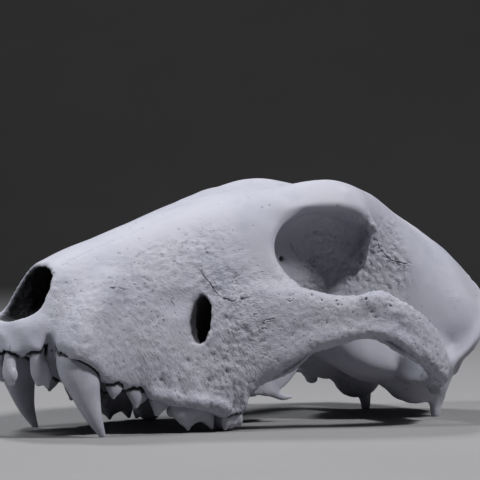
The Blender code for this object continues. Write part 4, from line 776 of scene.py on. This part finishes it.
    # the flats on the tips that it stands on
    for v in shape.verts:
        if v.co.z < 0:
            v.co.z = 0.0
    for v in shape.verts:
        v.co = ((v.co.x + SHIFT_X) / 1000, v.co.y / 1000, v.co.z / 1000)
    mesh = bpy.data.meshes.new("skull_bone")
    shape.to_mesh(mesh)
    shape.free()
    mesh.shade_smooth()
    return mesh, tree, bone


def fewer(thing, faces):
    """The object's mesh, with the plainer stretches in larger triangles."""
    count = sum(len(f.vertices) - 2 for f in thing.data.polygons)
    if count <= faces:
        return
    cut = thing.modifiers.new("fewer", "DECIMATE")
    cut.ratio = faces / count
    ready = bpy.data.meshes.new_from_object(thing.evaluated_get(bpy.context.evaluated_depsgraph_get()))
    old, name = thing.data, thing.data.name
    thing.modifiers.clear()
    thing.data = ready
    bpy.data.meshes.remove(old)
    ready.name = name
    ready.shade_smooth()


# ---------------------------------------------------------------- looks
class Nodes:
    """Short names for building one material's nodes."""

    def __init__(self, name):
        self.look = bpy.data.materials.new(name)
        self.look.use_nodes = True
        self.tree = self.look.node_tree
        self.shader = self.tree.nodes["Principled BSDF"]

    def new(self, kind, **values):
        node = self.tree.nodes.new(kind)
        for key, value in values.items():
            setattr(node, key, value)
        return node

    def put(self, node, socket, value):
        if isinstance(value, bpy.types.NodeSocket):
            self.tree.links.new(value, node.inputs[socket])
        else:
            node.inputs[socket].default_value = value

    def math(self, operation, a, b=0.0, c=None, clamp=False):
        node = self.new("ShaderNodeMath", operation=operation, use_clamp=clamp)
        self.put(node, 0, a)
        self.put(node, 1, b)
        if c is not None:
            self.put(node, 2, c)
        return node.outputs[0]

    def attribute(self, name, output="Fac"):
        return self.new("ShaderNodeAttribute", attribute_name=name).outputs[output]

    def split(self, vector):
        node = self.new("ShaderNodeSeparateXYZ")
        self.put(node, 0, vector)
        return node.outputs

    def noise(self, where, size, detail=2.0, rough=0.5, warp=0.0):
        """Noise with features of the stated size in millimetres, centred on 0."""
        node = self.new("ShaderNodeTexNoise")
        self.put(node, "Vector", where)
        self.put(node, "Scale", 1000.0 / size)
        self.put(node, "Detail", detail)
        self.put(node, "Roughness", rough)
        self.put(node, "Distortion", warp)
        return self.math("SUBTRACT", node.outputs["Fac"], 0.5)

    def smooth(self, value, low, high, to_low=0.0, to_high=1.0):
        node = self.new("ShaderNodeMapRange", interpolation_type="SMOOTHSTEP")
        for i, v in enumerate((value, low, high, to_low, to_high)):
            self.put(node, i, v)
        return node.outputs[0]

    def mix(self, share, a, b, blend="MIX"):
        node = self.new("ShaderNodeMix", data_type="RGBA", blend_type=blend)
        self.put(node, "Factor", share)
        for socket, value in ((6, a), (7, b)):
            self.put(node, socket, value if isinstance(value, bpy.types.NodeSocket) else (*value, 1.0))
        return node.outputs[2]

    def place(self):
        return self.new("ShaderNodeTexCoord").outputs["Object"]

    def stretched(self, where, turn, size):
        node = self.new("ShaderNodeMapping", vector_type="TEXTURE")
        self.put(node, "Vector", where)
        self.put(node, "Rotation", turn)
        self.put(node, "Scale", size)
        return node.outputs[0]


def bone_look():
    k = Nodes("bone_surface")
    where = k.place()
    a, b = k.split(k.attribute("lie_a", "Vector")), k.split(k.attribute("lie_b", "Vector"))
    relief = k.split(k.attribute("relief", "Vector"))        # grained, pored, coarse
    # painted shade from the mesh's grooves, pits and cracks
    painted_crease_shade = k.attribute("painted_crease_shade")
    # fine grain along the lie, in six directions
    lines = 0.0
    for i, share in enumerate((*a, *b)):
        q = k.stretched(where, (0.0, i * math.pi / 6, 0.0), (2.2, 0.60, 0.60))
        fine = k.noise(q, 1.0, 3.0, 0.6)
        lines = k.math("MULTIPLY_ADD", fine, share, lines)
    coarse = k.noise(where, 1.3, 3.0, 0.6)
    grit = k.noise(where, 0.55, 2.0, 0.6)
    # pores: one to a cell, most cells empty
    cells = k.new("ShaderNodeTexVoronoi", feature="F1")
    k.put(cells, "Vector", where)
    k.put(cells, "Scale", 1000.0 / 1.35)
    k.put(cells, "Randomness", 1.0)
    luck = k.split(cells.outputs["Color"])
    here = k.math("LESS_THAN", luck[0], k.math("MULTIPLY", relief[1], 0.62))
    size = k.math("MULTIPLY_ADD", luck[1], 0.10, 0.13)
    pore = k.math("MULTIPLY", k.smooth(k.math("DIVIDE", cells.outputs["Distance"], size), 0.35, 1.15, 1.0, 0.0), here)
    height = k.math("MULTIPLY", lines, k.math("MULTIPLY", relief[0], 0.34))
    height = k.math("MULTIPLY_ADD", coarse, k.math("MULTIPLY_ADD", relief[2], 0.42, 0.03), height)
    height = k.math("MULTIPLY_ADD", grit, k.math("MULTIPLY_ADD", relief[2], 0.10, 0.030), height)
    height = k.math("MULTIPLY_ADD", pore, -0.28, height)
    bump = k.new("ShaderNodeBump")
    bump.inputs["Strength"].default_value = 1.0
    bump.inputs["Distance"].default_value = 0.001
    k.put(bump, "Height", height)
    k.put(k.shader, "Normal", bump.outputs[0])
    # colour: cool grey, with painted shade in the cracks, pores and grooves
    blotch = k.noise(where, 26.0, 3.0, 0.55)
    tint = k.mix(k.smooth(blotch, -0.14, 0.16), (0.378, 0.388, 0.448), (0.436, 0.440, 0.492))
    mottle = k.noise(where, 4.5, 4.0, 0.6)
    tint = k.mix(k.smooth(mottle, -0.2, 0.2, 0.0, 0.35), tint, (0.455, 0.458, 0.505))
    # painted shade in the grooves of the fine grain
    painted_groove_shade = k.math("MULTIPLY", k.smooth(k.math("MULTIPLY", lines, relief[0]), 0.0, -0.16), 0.30)
    # painted shade: the crease attribute and each pore darken the colour
    shade = k.math("ADD", k.math("MULTIPLY", k.smooth(painted_crease_shade, 0.03, 0.6), 0.78), k.math("MULTIPLY", pore, 0.60))
    shade = k.math("ADD", shade, painted_groove_shade, clamp=True)
    # painted shade: near black deep inside the hollows and sockets
    tint = k.mix(k.math("MULTIPLY", k.attribute("deep"), 0.94), tint, (0.014, 0.014, 0.016))
    k.put(k.shader, "Base Color", k.mix(shade, tint, (0.105, 0.105, 0.122)))
    k.put(k.shader, "Roughness", k.math("MULTIPLY_ADD", blotch, 0.25, 0.62))
    k.shader.inputs["Specular IOR Level"].default_value = 0.35
    return k.look


def enamel_look():
    k = Nodes("tooth_surface")
    where = k.place()
    neck = k.attribute("root")           # 0 on the crown, 1 on the root
    q = k.stretched(where, (0.0, 0.0, 0.0), (1.0, 1.0, 9.0))
    ridges = k.noise(q, 0.9, 2.0, 0.5)
    rings = k.noise(k.stretched(where, (0.0, 0.0, 0.0), (6.0, 6.0, 1.0)), 0.7, 1.0, 0.5)
    grit = k.noise(where, 0.5, 2.0, 0.55)
    height = k.math("MULTIPLY", ridges, 0.06)
    height = k.math("MULTIPLY_ADD", rings, 0.018, height)
    height = k.math("MULTIPLY_ADD", grit, k.math("MULTIPLY_ADD", neck, 0.07, 0.008), height)
    bump = k.new("ShaderNodeBump")
    bump.inputs["Strength"].default_value = 1.0
    bump.inputs["Distance"].default_value = 0.001
    k.put(bump, "Height", height)
    k.put(k.shader, "Normal", bump.outputs[0])
    blotch = k.noise(where, 7.0, 3.0, 0.5)
    crown = k.mix(k.smooth(blotch, -0.15, 0.15), (0.365, 0.372, 0.425), (0.420, 0.425, 0.475))
    streak = k.smooth(ridges, 0.05, 0.25, 0.0, 0.35)
    crown = k.mix(streak, crown, (0.33, 0.33, 0.36))
    root = k.mix(k.smooth(grit, -0.2, 0.2), (0.30, 0.30, 0.32), (0.37, 0.37, 0.39))
    # painted shade: the tooth darkens to near black close to the bone's edge
    k.put(k.shader, "Base Color", k.mix(k.math("MULTIPLY", k.attribute("painted_socket_shade"), 0.92), k.mix(neck, crown, root), (0.02, 0.02, 0.023)))
    k.put(k.shader, "Roughness", k.math("MULTIPLY_ADD", neck, 0.22, k.math("MULTIPLY_ADD", blotch, 0.3, 0.44)))
    k.shader.inputs["Specular IOR Level"].default_value = 0.45
    return k.look


def floor_look():
    k = Nodes("studio_floor")
    where = k.place()
    soft = k.noise(where, 120.0, 3.0, 0.5)
    k.put(k.shader, "Base Color", k.mix(k.smooth(soft, -0.2, 0.2), (0.277, 0.277, 0.281), (0.284, 0.284, 0.287)))
    k.shader.inputs["Roughness"].default_value = 0.75
    k.shader.inputs["Specular IOR Level"].default_value = 0.2
    return k.look


# ---------------------------------------------------------------- the pieces
BONE, ENAMEL = bone_look(), enamel_look()


def vectors(mesh, name, values):
    made = mesh.attributes.new(name, "FLOAT_VECTOR", "POINT")
    made.data.foreach_set("vector", np.ascontiguousarray(values, np.float32).ravel())


mesh, TREE, FORM = skull_mesh()
mesh.materials.append(BONE)
skull = bpy.data.objects.new("skull_bone", mesh)
bpy.context.scene.collection.objects.link(skull)
fewer(skull, SKULL_FACES)
mesh = skull.data
count = len(mesh.vertices)
P, N = np.empty(count * 3, np.float32), np.empty(count * 3, np.float32)
mesh.vertices.foreach_get("co", P)
mesh.vertices.foreach_get("normal", N)
P, N = P.reshape(-1, 3) * 1000.0 - (SHIFT_X, 0, 0), N.reshape(-1, 3)
lie = lie_weights(TREE, P)
area = regions(P, N)
vectors(mesh, "lie_a", lie[:, :3])
vectors(mesh, "lie_b", lie[:, 3:])
# painted shade: how far each point lies inside the hollows and sockets, against the form before they were cut; it
# darkens the bone's colour there
made = mesh.attributes.new("deep", "FLOAT", "POINT")
made.data.foreach_set("value", ramp(0.3, 1.7, -sample(FORM, FORM.filled, P)).astype(np.float32))
plain = 1 - 0.8 * area["rim"]
vectors(mesh, "relief", np.column_stack([
    (0.9 * area["muzzle"] + 1.0 * area["cheek"] + 0.22 * area["top"] + 0.55 * area["arch"] + 0.5 * area["fossa"] + 0.16 * area["brain"] + 0.5 * area["under"]) * plain,
    np.clip(area["arch"] + 0.35 * area["cheek"] + 0.35 * area["muzzle"] + 0.10 * area["top"] + 0.4 * area["under"] + 0.1 * area["brain"], 0, 1) * plain,
    np.clip(1.0 * area["fossa"] + 0.35 * area["arch"] + 0.30 * area["cheek"] + 0.22 * area["muzzle"] + 0.3 * area["under"] + 0.05 * area["top"], 0, 1) * plain]))
CLOSE = BVHTree.FromPolygons([Vector(c) for c in (P + (SHIFT_X, 0, 0)).tolist()], [tuple(f.vertices) for f in mesh.polygons])
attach(skull, "root")
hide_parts("cranium")

for name, root, crown in teeth():
    points, faces = tooth_field(root, crown, TOOTH_CELL).surface()
    points = lean(points)
    rows = np.array(root, float)[:, :3]
    neck = rows[-1] * 0.45 + rows[-2] * 0.55          # the middle of the neck, and the way to the root's tip
    way = rows[0] - rows[-1]
    way /= np.linalg.norm(way)
    for side, flip in (("left", -1), ("right", 1)):
        p = points * (1, flip, 1)
        f = faces if flip > 0 else [q[::-1] for q in faces]
        p[:, 2] = np.maximum(p[:, 2], 0.0)
        thing = mesh_object(f"{name}_{side}_surface", p, f, [ENAMEL])
        mesh = thing.data
        count = len(mesh.vertices)
        co = np.empty(count * 3, np.float32)
        mesh.vertices.foreach_get("co", co)
        q = (co.reshape(-1, 3) * 1000.0 - (SHIFT_X, 0, 0)) * (1, flip, 1)
        level = (q - neck) @ way
        made = mesh.attributes.new("root", "FLOAT", "POINT")
        made.data.foreach_set("value", ramp(-0.3, 0.5, level).astype(np.float32))
        # painted shade: near the neck and within about 1.6 mm of the bone, the tooth's colour darkens, as the socket's
        # rim shades it
        near = np.array([(CLOSE.find_nearest(c, 3.0)[3] or 3.0) if a > -4 else 3.0 for c, a in zip((co.reshape(-1, 3) * 1000.0).tolist(), level)])
        made = mesh.attributes.new("painted_socket_shade", "FLOAT", "POINT")
        made.data.foreach_set("value", (1 - ramp(1.0, 1.6, near)).astype(np.float32))
        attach(thing, "root")
        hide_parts(f"{name}_{side}")

# ---------------------------------------------------------------- floor, light and camera
sweep = bmesh.new()
rows = []
profile = [(-4.0, 0.0), (2.2, 0.0)] + [(2.2 + 0.9 * math.sin(a), 0.9 - 0.9 * math.cos(a)) for a in np.linspace(0, math.pi / 2, 13)[1:]] + [(3.1, 5.0)]
for s in (-5.0, 5.0):
    rows.append([sweep.verts.new((RIGHT * s + AHEAD * d + UP * z)[:]) for d, z in profile])
for i in range(len(profile) - 1):
    sweep.faces.new((rows[0][i], rows[1][i], rows[1][i + 1], rows[0][i + 1]))
mesh = bpy.data.meshes.new("studio_floor")
sweep.to_mesh(mesh)
sweep.free()
mesh.shade_smooth()
mesh.materials.append(floor_look())
stage = bpy.data.objects.new("studio_floor", mesh)
bpy.context.scene.collection.objects.link(stage)


def lamp(name, place, at, size, power, colour=(1, 1, 1)):
    data = bpy.data.lights.new(name, "AREA")
    data.shape, data.size, data.energy, data.color = "DISK", size, power, colour
    thing = bpy.data.objects.new(name, data)
    bpy.context.scene.collection.objects.link(thing)
    thing.location = place
    thing.rotation_euler = (Vector(at) - Vector(place)).to_track_quat("-Z", "Y").to_euler()
    return thing


def round_skull(right, ahead, up):
    return (RIGHT * right + AHEAD * ahead + UP * up)[:]


lamp("key", round_skull(0.78, -0.36, 1.11), (0, 0, 0.05), 0.20, 15.0, (1.0, 0.985, 1.0))
lamp("back", round_skull(-0.48, 0.57, 1.19), (0, 0, 0.05), 0.30, 8.0, (0.97, 0.98, 1.0))
lamp("left", round_skull(-0.84, -0.54, 1.00), (0, 0, 0.05), 0.30, 8.0, (0.97, 0.98, 1.0))

world = bpy.data.worlds.new("studio")
bpy.context.scene.world = world
world.use_nodes = True
world.node_tree.nodes["Background"].inputs["Color"].default_value = (0.90, 0.93, 1.0, 1.0)
world.node_tree.nodes["Background"].inputs["Strength"].default_value = 0.015

eye = bpy.data.cameras.new("camera")
eye.sensor_width, eye.lens = 36.0, FOCUS * 36.0 / 480.0
eye.clip_start, eye.clip_end = 0.02, 50.0
camera = bpy.data.objects.new("camera", eye)
bpy.context.scene.collection.objects.link(camera)
camera.location = (EYE + (SHIFT_X, 0, 0)) / 1000.0
camera.rotation_euler = (math.pi / 2, 0.0, -TURN)
bpy.context.scene.camera = camera
bpy.context.scene.view_settings.view_transform = "Standard"
bpy.context.scene.view_settings.look = "Medium High Contrast"
